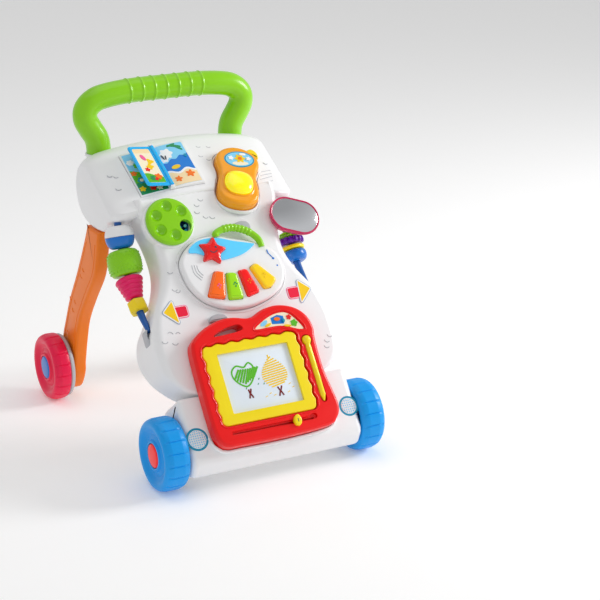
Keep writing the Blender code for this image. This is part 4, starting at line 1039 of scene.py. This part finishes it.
def music_module():
    steps = edges(-0.006, MUSIC_FACE, 0.005, 0.0004, 7)
    case = fresh("case", loft(MUSIC_OUTLINE, steps), PANEL)
    tools = [
        slab("hole", grown(softened(c, 0.0035, 6), 0.0005), 0.0, 0.02, 0, 0, PANEL,
             1) for c in KEYS.values()
    ]
    tools.append(slab("hole", star_outline(STAR_R + 0.0003), 0.0, 0.02, 0, 0, PANEL, 1))
    combine(case, tools)
    finish(case, "music_shell", "music_panel", "white", ["music_case"], 34)
    back = slab("back", grown(MUSIC_OUTLINE, -0.0004), -0.0145, -0.0063, 0.0004, 0.002, PANEL, 3)
    combine(back, [block("recess", (0.0045, 0.2895, -0.02), (0.0605, 0.3225, -0.013), PANEL, 0.0008)])
    grille = []
    for row in range(-3, 4):
        for k in range(-3, 4):
            if row * row + k * k < 11:
                grille.append(slab("hole", ellipse(-0.035 + 0.0036 * k, 0.312 + 0.0036 * row, 0.0011,
                                                   count=10), -0.02, -0.0125, 0, 0, PANEL, 1))
    combine(back, [joined("grille", grille)])
    finish(back, "music_rear", "music_panel", "under_white", ["music_back"], 34)
    door = block("door", (0.0048, 0.2898, -0.0145), (0.0602, 0.3222, -0.0133), PANEL, 0.0004)
    finish(door, "door", "music_panel", "under_white", ["battery_door"])

    steps = edges(0.0045, 0.0158, 0.0042, 0.0, 8)
    for name, corners in KEYS.items():
        key = fresh("key", loft(softened(corners, 0.0055, 7), steps), PANEL)
        finish(key, f"piano_{name}", f"{name}_key", f"key_{name}", [f"key_{name}"])
    bm = bmesh.new()
    rings = []
    for scale, n in ((1.0, 0.0045), (1.0, 0.0118), (0.985, 0.0134), (0.94, 0.0149), (0.86, 0.016),
                     (0.72, 0.0168), (0.5, 0.0172), (0.2, 0.0173)):
        rings.append([bm.verts.new((x, s, n)) for x, s in star_outline(STAR_R * scale)])
    finish(fresh("star", skinned(bm, rings), PANEL), "star_cap", "star", "coral", ["star_button"], 60)
    face = []
    for x, s in ((-0.0262, 0.3528), (-0.0176, 0.3528)):
        face.append((ellipse(x, s, 0.0013, 0.0017, 16), "ink_dark"))
    smile = [
        (STAR[0] + 0.0062 * math.cos(math.radians(a)),
         0.35 + 0.005 * math.sin(math.radians(a))) for a in range(200, 345, 12)
    ]
    smile += [
        (STAR[0] + 0.0052 * math.cos(math.radians(a)),
         0.3503 + 0.0042 * math.sin(math.radians(a))) for a in range(332, 195, -12)
    ]
    face.append((smile, "ink_dark"))
    label("star_face", "star", face, PANEL, STAR_FACE)

    wave = slab("wave", smooth(WAVE, 8), 0.0103, 0.012, 0.0006, 0.0, PANEL, 3)
    combine(wave, [slab("hole", star_outline(STAR_R + 0.0003), 0.0, 0.02, 0, 0, PANEL, 1)])
    finish(wave, "wave", "music_panel", "wave", ["wave_window"])
    arc = mm([
        (-8.5, 369, 9.5), (-8.5, 374.5, 9.5), (2, 379, 9.5), (16.9, 380, 9.5), (31.5, 375.8, 9.5),
        (44, 368, 9.5), (53, 357, 9.5), (54.5, 345, 9.5)
    ])

    def ribbed(travelled):
        inside = 0.018 < travelled < 0.062
        return 0.0048 + (0.0009 * abs(math.sin(math.pi * (travelled - 0.018) / 0.0055)) if inside else 0.0)
    bar = sweep("bar", smooth(arc, 20, False), ribbed, PANEL, 20)
    combine(bar, [fresh("room", loft(grown(MUSIC_OUTLINE, -0.0008), [(0, -0.01), (0, 0.0102)]), PANEL)])
    finish(bar, "music_grip", "music_panel", "lime", ["music_handle"], 50)

    # these moulded lines are grey as painted shade
    lines = []
    for a, b, c in (((-0.0571, 0.334), (-0.0566, 0.3215), (-0.049, 0.3108)),
                    ((-0.0535, 0.3335), (-0.0528, 0.3228), (-0.0466, 0.3136)),
                    ((-0.05, 0.3325), (-0.0492, 0.3243), (-0.0445, 0.317))):
        line = smooth([(*a, MUSIC_FACE), (*b, MUSIC_FACE), (*c, MUSIC_FACE)], 6, False)
        lines.append(sweep("line", line, 0.0006, PANEL, 8))
    finish(dyed(joined("lines", lines), "relief_shade"), "music_lines", "music_panel")
    notes = [
        (ellipse(0.0503, 0.341, 0.0012, count=16), "ink_sea"),
        (ellipse(0.0698, 0.3146, 0.0013, count=16), "ink_sea"),
        (ellipse(0.0668, 0.3255, 0.0019, 0.0014, 16), "ink_sea"),
        (mm([(60.6, 334.5), (61.5, 335), (67.2, 326.2), (66.3, 325.6)]), "ink_sea"),
        (mm([(60, 339.5), (61.2, 339.8), (61.8, 334), (60.6, 333.8)]), "ink_sea")
    ]
    label("music_notes", "music_panel", notes, PANEL, MUSIC_FACE - 0.0004)
    icons = {"orange": (-0.028, 0.296), "green": (-0.004, 0.2945), "red": (0.0185, 0.296),
             "yellow": (0.043, 0.301)}
    inks = {"orange": "ink_pink", "green": "ink_leaf", "red": "ink_orange", "yellow": "ink_gold"}
    for name, (x, s) in icons.items():
        dots = [
            (ellipse(x + dx, s + ds, 0.0011, count=12), inks[name]) for dx,
            ds in ((-0.0022, 0.0015), (0.0022, 0.0015), (0.0, -0.0018), (0.0, 0.0035))
        ]
        label(f"key_icon_{name}", f"{name}_key", dots, PANEL, KEY_FACE)


def latches():
    upper = mirrored(mm([(0, 0), (12.5, 0), (12.5, 6), (9.5, 11.2), (0, 13.5)]))
    upper = softened([(x + 0.038, s + 0.377) for x, s in upper], 0.003)
    finish(slab("latch", upper, 0.0003, 0.0032, 0.0012), "latch_top", "upper_latch", "grey",
           ["latch_upper"])
    lower = mirrored(mm([(0, 0), (13.5, 0), (13.5, 4), (9.5, 8.5), (0, 10.5)]))
    lower = softened([(x - 0.039, s + 0.2502) for x, s in lower], 0.003)
    finish(slab("latch", lower, 0.0003, 0.008, 0.0025), "latch_low", "lower_latch", "grey",
           ["latch_lower"])


# ---- drawing board ----
BOARD_POINTS = mm([
    (-80, 71.5), (-64, 71.1), (4.9, 70.5), (70, 73.8), (86, 82), (93.5, 95.5), (93.5, 112.1),
    (88, 151.4), (88.5, 194.7), (91.2, 215.2), (85.5, 234), (70.5, 248), (46.5, 255.2), (21.9, 252.5),
    (0, 244), (-25, 248.5), (-45, 248), (-70, 240), (-89, 227), (-96.5, 213), (-98.5, 165),
    (-98.5, 109), (-96.5, 88), (-90.5, 76.5)
])
BOARD_OUTLINE = smooth(BOARD_POINTS, 7)
SLOT = mm([(-61, 225.5), (-45, 233), (-30, 236.2), (-19, 236), (-16, 228.5), (-37, 225.5)])
ARCH = mm([
    (3.1, 224.4), (14, 234.5), (37.7, 243.4), (58.9, 240.7), (75.5, 217.7), (69.1, 213.9), (41.5, 223.5)
])
PEN_LINE, TRACK_S, KNOB_X = 0.0738, 0.0885, 0.0242
SCREEN_LOW, SCREEN_HIGH = (-0.0635, 0.115), (0.0445, 0.2)


def scalloped(grow=0.0, depth=0.0013, corner=0.0085):
    """The yellow frame's outline: its top and sides wave in and out, the bottom is straight."""
    low, high = (-0.0832 - grow, 0.0997 - grow), (0.0608 + grow, 0.2138 + grow)
    corner += grow
    inner = [
        (high[0] - corner, low[1] + corner), (high[0] - corner, high[1] - corner),
        (low[0] + corner, high[1] - corner), (low[0] + corner, low[1] + corner)
    ]
    waves = (5, 6, 5, 0)
    points = []
    for side, (cx, cy) in enumerate(inner):
        a0 = math.radians(90 * side - 90)
        for k in range(8):
            a = a0 + math.pi / 2 * k / 8
            points.append((cx + corner * math.cos(a), cy + corner * math.sin(a)))
        nx, ny = inner[(side + 1) % 4]
        out = Vector((math.cos(a0 + math.pi / 2), math.sin(a0 + math.pi / 2)))
        for k in range(50):
            t = k / 50
            point = Vector((cx, cy)).lerp(Vector((nx, ny)), t)
            points.append(tuple(point + out * (corner
                                               + depth * math.sin(2 * math.pi * waves[side] * t))))
    return points


def drawing_board():
    steps = edges(0.0032, BOARD_FACE, 0.0052, 0.0008, 8)
    case = fresh("case", loft(BOARD_OUTLINE, steps), PANEL)
    groove = [(x + PEN_LINE, s + 0.152) for s, x in stadium(0.091, 0.0098, 10)]
    track = [
        (-0.074, TRACK_S - 0.003), (0.047, TRACK_S - 0.003), (0.056, TRACK_S - 0.001),
        (0.056, TRACK_S + 0.005), (0.051, TRACK_S + 0.0065), (0.044, TRACK_S + 0.003),
        (-0.074, TRACK_S + 0.003)
    ]
    tools = [
        slab("slot", smooth(SLOT, 6), 0.0, 0.03, 0, 0, PANEL, 1),
        slab("groove", groove, 0.0134, 0.03, 0, 0.003, PANEL, 3),
        slab("well", ellipse(PEN_LINE, 0.1975, 0.0082), 0.0134, 0.03, 0, 0.004, PANEL, 3),
        slab("bed", scalloped(0.0012), 0.016, 0.03, 0, 0, PANEL, 1),
        slab("track", softened(track, 0.003), 0.017, 0.03, 0, 0.001, PANEL, 2),
        slab("slit", rectangle((-0.074, TRACK_S - 0.001), (0.052, TRACK_S + 0.001)), 0.013, 0.03, 0, 0,
             PANEL, 1),
        slab("arch", smooth(ARCH, 6), BOARD_FACE - 0.0012, 0.03, 0, 0, PANEL, 1)
    ]
    combine(case, tools)
    finish(case, "board_shell", "drawing_board", "red", ["board_case"], 32)
    back = slab("back", grown(BOARD_OUTLINE, -0.0006), 0.0005, 0.0029, 0.0004, 0.0016, PANEL, 4)
    combine(back, [slab("slot", smooth(SLOT, 6), -0.01, 0.03, 0, 0, PANEL, 1)])
    finish(back, "board_rear", "drawing_board", "red", ["board_back"])
    rims = []
    for outline, height in ((scalloped(0.0028), 0.0219), (grown(smooth(ARCH, 6), 0.002), 0.0219)):
        line = [(x, s, height) for x, s in outline]
        rims.append(sweep("rim", line + line[:1], 0.001, PANEL, 8))
    finish(joined("board_rims", rims), "board_rims", "drawing_board", "red")

    yellow = fresh("frame", loft(scalloped(), edges(0.0164, 0.0214, 0.0022, 0.0003, 6)), PANEL)
    window = loft(rectangle(SCREEN_LOW, SCREEN_HIGH, 0.002), mm([(0.4, 0), (0, 20.5), (-0.9, 30)]))
    combine(yellow, [fresh("window", window, PANEL)])
    finish(yellow, "yellow_frame", "drawing_board", "yellow", ["board_frame"], 34)
    screen = block("screen", (-0.072, 0.107, 0.0135), (0.053, 0.208, 0.0172), PANEL, 0.0003)
    finish(screen, "screen", "drawing_board", "screen", ["board_screen"])
    doodle()
    arch_layers = [
        (grown(smooth(ARCH, 6), -0.001), "ink_cream"),
        (mm([(30, 228.5), (48, 226.5), (50, 237.5), (41, 240.5), (30, 237.5)]), "ink_sea"),
        (ellipse(0.018, 0.2315, 0.0065, 0.0028, turn=28), "ink_sky"),
        (petals(0.063, 0.225, 0.0048, 5, 0.14), "ink_green"),
        (petals(0.0575, 0.2345, 0.0034, 5, 0.2), "ink_red"),
        (ellipse(0.039, 0.2345, 0.0045, 0.0026, turn=-8), "ink_orange"),
        (ellipse(0.0235, 0.228, 0.005, 0.0018, turn=18), "ink_gold"),
        (ellipse(0.052, 0.2225, 0.0055, 0.0016, turn=-12), "ink_gold"),
        (ellipse(0.048, 0.231, 0.0018, 0.003), "ink_teal")
    ]
    label("arch_picture", "drawing_board", arch_layers, PANEL, BOARD_FACE - 0.0013)

    teardrop = smooth(mm([
        (9.8, 0), (5, 6.2), (-2, 7.6), (-7.6, 4.2), (-8.6, 0), (-7.6, -4.2), (-2, -7.6), (5, -6.2)
    ]), 6)
    teardrop = [
        (KNOB_X + 0.76 * (x * 0.3 - y * 0.954), TRACK_S + 0.88 * (x * 0.954 + y * 0.3)) for x,
        y in teardrop
    ]
    knob = fresh("knob", loft(teardrop, edges(0.021, 0.0265, 0.0022, 0.0006, 5)), PANEL)
    stem = block("stem", (KNOB_X - 0.0009, TRACK_S - 0.0009, 0.012),
                 (KNOB_X + 0.0009, TRACK_S + 0.0009, 0.023), PANEL, 0.0002)
    notch = dyed(block("notch", (KNOB_X - 0.0005, TRACK_S - 0.0028, 0.0262),
                       (KNOB_X + 0.0005, TRACK_S + 0.0024, 0.0268), PANEL, 0.0002), "ink_dark")
    finish(joined("slider", [dyed(knob, "yellow"), dyed(stem, "yellow"), notch]), "slider", "eraser",
           None, ["eraser_slider"])
    pen = mm([
        (0, -44), (0.8, -43.7), (1.3, -42.8), (4.2, -35), (4.2, 37), (4, 39.5), (4.8, 40.6), (6.2, 43),
        (6.6, 45.5), (6.2, 48), (4.8, 50.4), (2.8, 51.6), (0, 52)
    ])
    pen = lathe("pen", pen, PANEL @ Matrix.Translation((PEN_LINE, 0.1522, 0.0205))
                @ turned_by(-90, "X"), 32)
    finish(pen, "drawing_pen", "magnet_pen", "yellow", ["pen"])


def strokes(name, lines, radius, shade, height=0.0172):
    things = [
        sweep("stroke", [(x, s, height) for x, s in line], radius, PANEL, 6, (0, 0, 1),
              0.45) for line in lines
    ]
    return dyed(joined(name, things), shade)


def doodle():
    """A child's two trees in magnetic ink."""
    heart = smooth(mm([
        (-27.5, 177), (-20, 182), (-14.5, 174), (-18.5, 160), (-31, 149.5), (-45.5, 160), (-48, 172.5),
        (-40, 180), (-31.5, 177.5)
    ]), 5)
    hatch = []
    for k in range(9):
        x = -0.0455 + 0.0036 * k
        low = 0.1512 + 0.002 * abs(k - 4)
        hatch.append([(x - 0.001, low + 0.002), (x + 0.0085, low + 0.0225 - 0.0018 * abs(k - 4))])
    crown = []
    for k in range(14):
        s = 0.1428 + 0.0032 * k
        half = 0.0215 * math.sin(math.pi * min((k + 1.5) / 14, 1)) ** 0.7 * (1.05 - 0.03 * k)
        shift = 0.015 - 0.0003 * k
        crown.append([(shift - half, s - 0.0006), (shift + half, s + 0.0034)])
    trunks = [
        mm([(-31, 145), (-30, 139), (-32.2, 132.5)]), mm([(-27, 145.5), (-29.2, 139), (-26.5, 132.5)]),
        mm([(12.5, 141.2), (15, 135), (12, 128)]), mm([(19, 141.6), (15.8, 135), (18.5, 128)])
    ]
    specks = [
        [(x, s), (x + 0.0016, s + 0.0022)] for x,
        s in ((-0.043, 0.164), (-0.041, 0.1545), (-0.015, 0.149), (-0.012, 0.156), (-0.0065, 0.148),
              (-0.034, 0.146))
    ]
    sun = [
        [(x, s), (x + 0.0036, s + 0.0012)] for x,
        s in ((0.03, 0.142), (0.034, 0.1365), (0.0255, 0.131), (0.004, 0.13), (-0.002, 0.1335),
              (-0.009, 0.13))
    ]
    things = [
        strokes("heart", [heart + heart[:1]], 0.0013, "ink_green"),
        strokes("hatch", hatch, 0.0016, "ink_green"), strokes("crown", crown, 0.0011, "ink_gold"),
        strokes("trunks", trunks, 0.0013, "ink_brown"), strokes("specks", specks, 0.0007, "ink_leaf"),
        strokes("flecks", sun, 0.0006, "ink_gold")
    ]
    finish(joined("doodle", things), "doodle", "drawing_board")


def board_ledge():
    """The raised rim on the walker that the board's lower edge stands in."""
    def rise(x, s):
        return -0.0015 + 0.0077 * min(max((0.097 - s) / 0.016, 0.0), 1.0)
    steps = [
        (0.0, -0.002), (0.0, lambda x, s: rise(x, s) - 0.0004),
        (0.0005, lambda x, s: rise(x, s) - 0.0001), (0.0013, rise)
    ]
    ledge = fresh("ledge", loft(grown(BOARD_OUTLINE, 0.0036), steps), PANEL)
    combine(ledge, [slab("seat", grown(BOARD_OUTLINE, 0.0009), -0.01, 0.03, 0, 0, PANEL, 1),
                    block("above", (-0.2, 0.0965, -0.01), (0.2, 0.3, 0.03), PANEL, 0)])
    finish(ledge, "board_ledge", "chassis", "white")


# ---- phone ----
DOME_PLACE = HANDSET @ moved(0, -0.017)


def squared(r, z, a):
    """Pushes a round outline a little toward a square one."""
    return r * (1 - 0.028 * math.cos(4 * a)), z


def phone():
    steps = edges(-PHONE_THICK, 0.0, 0.0062, 0.0008, 8)
    case = fresh("case", loft(PHONE_OUTLINE, steps), HANDSET)
    combine(case, [lathe("hole", mm([(0, -12.5), (22.8, -12.5), (22.8, 10), (0, 10)]), DOME_PLACE, 64,
                         squared)])
    finish(case, "handset", "phone", "amber", ["phone_case"], 34)
    back = slab("back", grown(PHONE_OUTLINE, -0.0026), -PHONE_THICK - 0.0001, -PHONE_THICK + 0.0024,
                0.0004, 0.0004, HANDSET, 2)
    finish(back, "handset_back", "phone", "under_white", ["phone_back"])
    collar = mm([(22.2, -2), (25, -1.2), (24.7, 0.4), (23.2, 1.3), (22.2, 1.1)])
    finish(lathe("collar", collar, DOME_PLACE, 64, squared), "dome_collar", "phone", "amber")
    dome = [(0, -0.008), (0.0218, -0.008)] + [(0.0218 * math.cos(math.radians(a)) ** 0.7,
                                               0.0001
                                               + 0.0094 * math.sin(math.radians(a))) for a in range(0,
            90, 9)] + [(0, 0.0095)]
    finish(lathe("dome", dome, DOME_PLACE, 64, squared), "phone_dome", "phone_key", "dome",
           ["phone_button"], 60)
    rim = mm([
        (-0.2, -18.5), (-0.2, -16.5), (-0.6, -15), (-1.2, -14.1), (-2.2, -13.9), (-3, -14.5),
        (-3.4, -15.6), (-3.5, -17), (-3.5, -19.5)
    ])
    cradle = fresh("cradle", loft(PHONE_OUTLINE, rim), HANDSET)
    finish(cradle, "cradle", "chassis", "white", ["phone_cradle"])
    nub = smooth(mm([(12, 45.8), (16.5, 53.8), (23.5, 54.7), (30, 48.6), (31, 39.3), (24, 40.2)]), 5)
    finish(slab("nub", nub, -0.012, -0.0015, 0.0035, 0.001, HANDSET, 5), "antenna", "phone",
           "pale_yellow")
    place = PHONE @ moved(0.0673, 0.0121) @ turned_by(-10, "Z")
    layers = [
        (ellipse(0, 0, 0.0226, 0.015), "ink_teal"), (ellipse(0, 0, 0.0205, 0.0131), "ink_sky"),
        (ellipse(0.0, -0.0078, 0.012, 0.0038), "ink_cream"),
        (petals(0.001, 0.0012, 0.0068, 6, 0.22), "ink_gold"),
        (ellipse(0.001, 0.0012, 0.003), "ink_orange"),
        (petals(-0.0125, 0.002, 0.0034, 5, 0.2), "ink_white"),
        (petals(0.0135, 0.0004, 0.003, 5, 0.2), "ink_white"),
        (ellipse(0.006, 0.0085, 0.005, 0.002), "ink_white")
    ]
    label("phone_picture", "phone", layers, place, -0.00002)


# ---- flip book ----
SPINE_Z = 0.0048
LEAF_TURN = 17
LEAF_FACE = 0.00115
PAGE_BASE = 0.00003


def page_rise(x, y):
    """How high the open pages bulge either side of the spine."""
    reach = min(abs(x) / 0.048, 1.0)
    bulge = 0.0003 if x < 0 else 0.0022
    return bulge * math.sin(math.pi * reach ** 0.8) ** 0.9 if 0.0 < reach < 1 else 0.0


def band(x0, x1, low, high, count=14):
    """A patch between two lines y = low(x) and y = high(x)."""
    xs = [x0 + (x1 - x0) * i / count for i in range(count + 1)]
    return [(x, low(x)) for x in xs] + [(x, high(x)) for x in reversed(xs)]


def flip_book():
    bm = bmesh.new()
    count, low, high = 48, -0.0478, 0.0488
    rows = []
    for i in range(count + 1):
        x = low + (high - low) * i / count
        top = page_rise(x, 0)
        rows.append([bm.verts.new((x, y, z)) for y, z in ((-0.0424, -BOOK_DEPTH), (0.0424, -BOOK_DEPTH),
                (0.0424, top - 0.0004), (0.0418, top), (-0.0418, top), (-0.0424, top - 0.0004))])
    tray = fresh("tray", skinned(bm, rows), BOOK)
    lugs = [
        block("lug", (-0.0034, min(e * 0.04, e * 0.0425), -0.001),
              (0.0034, max(e * 0.04, e * 0.0425), 0.0076), BOOK, 0.0006) for e in (-1, 1)
    ]
    finish(joined("tray", [tray] + lugs), "tray", "chassis", "white", ["book_tray"])

    left = [
        (rectangle((-0.0455, -0.0395), (-0.0045, 0.0395), 0.002), "ink_sky"),
        (band(-0.0453, -0.0047, lambda x: -0.0393, lambda x: 0.004 + 0.006 * math.sin(90 * x)),
         "ink_green"),
        (band(-0.0453, -0.0047, lambda x: -0.0393, lambda x: -0.02 + 0.004 * math.sin(120 * x)),
         "ink_leaf"),
        (petals(-0.0385, 0.023, 0.005, 6, 0.12), "ink_white"),
        (petals(-0.03, 0.015, 0.006, 7, 0.12), "ink_green"),
        (petals(-0.041, 0.002, 0.0042, 5, 0.2), "ink_orange"),
        (petals(-0.035, -0.013, 0.0058, 6, 0.15), "ink_teal"),
        (petals(-0.04, -0.029, 0.0042, 5, 0.2), "ink_gold"),
        (petals(-0.025, -0.031, 0.0044, 5, 0.2), "ink_red"),
        (ellipse(-0.035, -0.013, 0.0028), "ink_cream"),
        (petals(-0.016, -0.033, 0.004, 6, 0.2), "ink_cream")
    ]
    label("page_left", "chassis", left, BOOK, PAGE_BASE, page_rise, THIN_SKIN)
    right = [
        (rectangle((0.0045, -0.0395), (0.0465, 0.0395), 0.002), "ink_sky"),
        (petals(0.016, 0.022, 0.009, 6, 0.14), "ink_white"),
        (petals(0.01, 0.013, 0.006, 6, 0.14), "ink_white"),
        (band(0.0047, 0.0463, lambda x: -0.022, lambda x: 0.004 + 0.3 * (x - 0.004)
              + 0.002 * math.sin(420 * x)), "ink_sea"),
        (band(0.0047, 0.0463, lambda x: -0.0393, lambda x: -0.016 + 0.003 * math.sin(230 * x)),
         "ink_sand"),
        (band(0.0047, 0.0463, lambda x: -0.0165 + 0.003 * math.sin(230 * x),
              lambda x: -0.013 + 0.003 * math.sin(230 * x)), "ink_white"),
        (ellipse(0.033, 0.0335, 0.0105, 0.0022, turn=-18), "ink_leaf"),
        (ellipse(0.038, 0.029, 0.007, 0.002, turn=-48), "ink_leaf"),
        (ellipse(0.029, 0.036, 0.007, 0.0018, turn=14), "ink_leaf"),
        (ellipse(0.02, -0.006, 0.0068, 0.0036, turn=8), "ink_gold"),
        (petals(0.035, -0.023, 0.0055, 5, 0.28), "ink_orange"),
        (petals(0.015, -0.0285, 0.0044, 5, 0.28), "ink_orange"),
        (ellipse(0.009, 0.017, 0.0012, 0.005, turn=12), "ink_dark"),
        (ellipse(0.0128, 0.015, 0.001, 0.004, turn=-10), "ink_dark"),
        (ellipse(0.042, 0.012, 0.0022, 0.003), "ink_teal")
    ]
    label("page_right", "chassis", right, BOOK, PAGE_BASE, page_rise, THIN_SKIN)

    hinge = BOOK @ moved(0, 0, SPINE_Z) @ turned_by(LEAF_TURN, "Y")
    leaf = slab("leaf", rectangle((-0.04, -0.039), (-0.001, 0.039), 0.005), -0.0012, 0.0012, 0.0008,
                0.0008, hinge, 3)
    roll = lathe("roll", mm([(0, -39), (3, -39), (3.6, -38.4), (3.6, 38.4), (3, 39), (0, 39)]),
                 hinge @ turned_by(-90, "X"), 32)
    rim = []
    line = rectangle((-0.0378, -0.0366), (-0.0052, 0.0366), 0.005)
    for z in (0.0011, -0.0011):
        points = [(x, y, z) for x, y in line]
        rim.append(sweep("rim", points + points[:1], 0.0008, hinge, 8))
    finish(joined("leaf", [leaf, roll] + rim), "flip_leaf", "flip_page", "page_blue", ["book_page"], 40)
    for face, side in (("front", 1), ("back", -1)):
        place = hinge @ (Matrix() if side > 0 else Matrix.Scale(-1, 4, (0, 0, 1)))
        art = [
            (rectangle((-0.0352, -0.0338), (-0.0072, 0.0338), 0.004), "ink_cream"),
            (rectangle((-0.035, 0.025), (-0.0074, 0.0336), 0.003), "ink_sand"),
            (band(-0.035, -0.0074, lambda x: -0.0334, lambda x: -0.019 + 0.004 * math.sin(150 * x)),
             "ink_green"),
            (petals(-0.016, 0.008, 0.005, 3, 0.25), "ink_gold"),
            (petals(-0.02, -0.002, 0.005, 4, 0.25), "ink_gold"),
            (petals(-0.0265, -0.008, 0.0036, 5, 0.2), "ink_red"),
            (petals(-0.015, -0.022, 0.0052, 5, 0.2), "ink_orange"),
            (petals(-0.025, -0.025, 0.0042, 6, 0.2), "ink_leaf"),
            (petals(-0.02, -0.027, 0.0028, 5, 0.2), "ink_red"),
            (ellipse(-0.024, 0.016, 0.003, 0.006, turn=20), "ink_pink")
        ]
        label(f"leaf_picture_{face}", "flip_page", art[:10 if side > 0 else 6], place, LEAF_FACE, None,
              THIN_SKIN)


# ---- labels on the housing ----
LABEL_BASE = -0.0001
GRID_PITCH, GRID_BAR = 0.0032, 0.0006
GRID_TOP = SKIN * 3.4


def arrow_labels():
    for side, name in ((-1, "left"), (1, "right")):
        tip = mm([(113.4, 276), (97.6, 290), (95, 258.5)])
        box = rectangle((0.0785, 0.2665), (0.0968, 0.281), 0.003)
        flip = [(side * x, s) for x, s in tip]
        square = [(side * x, s) for x, s in box]
        layers = [
            (grown(softened(square, 0.002), 0.002), "ink_pink"),
            (grown(softened(flip, 0.002), 0.0027), "ink_frost"),
            (grown(softened(square, 0.002), 0.0008), "ink_white"),
            (softened(square, 0.002), "ink_magenta"),
            (grown(softened(flip, 0.002), 0.0015), "ink_white"), (softened(flip, 0.0015), "ink_yellow")
        ]
        label(f"arrow_{name}", "chassis", layers, PANEL, LABEL_BASE)


def beam_labels():
    for side, name in ((-1, "left"), (1, "right")):
        x, s, r = (-0.116, 0.095, 0.016) if side < 0 else (0.118, 0.0985, 0.0145)
        layers = [
            (ellipse(x, s, r), "ink_teal"), (ellipse(x, s, r * 0.8), "ink_white"),
            (ellipse(x, s, r * 0.75), "ink_sky")
        ]
        label(f"beam_label_{name}", "chassis", layers, PANEL, LABEL_BASE)
        grid = []
        for k in range(-3, 4):
            at = k * GRID_PITCH
            reach = math.sqrt((r * 0.74) ** 2 - at ** 2)
            for bar in (rectangle((x + at - GRID_BAR, s - reach), (x + at + GRID_BAR, s + reach)),
                        rectangle((x - reach, s + at - GRID_BAR), (x + reach, s + at + GRID_BAR))):
                grid.append(dyed(slab("grid", bar, LABEL_BASE, GRID_TOP, 0, 0, PANEL, 1), "ink_white"))
        finish(joined("grid", grid), f"beam_grid_{name}", "chassis")


def left_as_cad():
    """CAD pieces that are mostly hidden keep their own meshes with better materials."""
    shades = {"panel_back": "under_white", "front_axle": "steel", "rear_axle_left": "steel",
              "rear_axle_right": "steel", "circuit_board": "circuit", "speaker": "grey"}
    for name, shade in shades.items():
        dyed(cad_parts[name], shade)


# ---- stage ----
LAMPS = {"key": ((2.1, -0.7, 1.2), 33.0, 0.8), "top": ((-0.1, 0.2, 2.2), 9.0, 1.8)}
SKY_STRENGTH = 0.62
SKY_FADE = {"From Min": 0.55, "From Max": 0.85, "To Min": 1.0, "To Max": 0.6}
LENS, AZIMUTH, ELEVATION = 110.1, -28.31, 18.71
EYE = (-1.0693, -2.2772, 1.0407)


def studio():
    bm = bmesh.new()
    bmesh.ops.create_grid(bm, x_segments=1, y_segments=1, size=6.0)
    floor = fresh("floor", bm)
    floor.data.materials.append(plastic("floor", (250, 250, 250), roughness=0.75, coat=0.0, tint=0.004,
                                        grain=0.02, glow=0.15))
    world = bpy.data.worlds.new("studio")
    bpy.context.scene.world = world
    world.use_nodes = True
    nodes, links = world.node_tree.nodes, world.node_tree.links
    where = nodes.new("ShaderNodeTexCoord")
    split = nodes.new("ShaderNodeSeparateXYZ")
    fade = nodes.new("ShaderNodeMapRange")
    for name, value in SKY_FADE.items():
        fade.inputs[name].default_value = value
    links.new(where.outputs["Generated"], split.inputs[0])
    links.new(split.outputs["Z"], fade.inputs["Value"])
    links.new(fade.outputs["Result"], nodes["Background"].inputs["Color"])
    nodes["Background"].inputs["Strength"].default_value = SKY_STRENGTH
    bpy.context.scene.view_settings.view_transform = "Standard"
    for name, (place, power, size) in LAMPS.items():
        data = bpy.data.lights.new(name, "AREA")
        data.energy = power
        data.size = size
        lamp = bpy.data.objects.new(name, data)
        lamp.location = place
        lamp.rotation_euler = (Vector((0, 0, 0.2)) - Vector(place)).to_track_quat("-Z", "Y").to_euler()
        bpy.context.scene.collection.objects.link(lamp)


def camera():
    data = bpy.data.cameras.new("camera")
    data.lens = LENS
    data.sensor_width = 36.0
    data.clip_end = 20.0
    eye = bpy.data.objects.new("camera", data)
    eye.location = EYE
    azimuth, elevation = math.radians(AZIMUTH), math.radians(ELEVATION)
    back = Vector((math.sin(azimuth) * math.cos(elevation), -math.cos(azimuth) * math.cos(elevation),
                   math.sin(elevation)))
    eye.rotation_euler = (-back).to_track_quat("-Z", "Y").to_euler()
    bpy.context.scene.collection.objects.link(eye)
    bpy.context.scene.camera = eye


main_panel()
panel_marks()
base_beam()
rear_legs()
wheels()
console()
handle()
rods()
beads()
right_toys()
mirror()
dial()
music_module()
latches()
drawing_board()
board_ledge()
phone()
flip_book()
arrow_labels()
beam_labels()
left_as_cad()
studio()
camera()
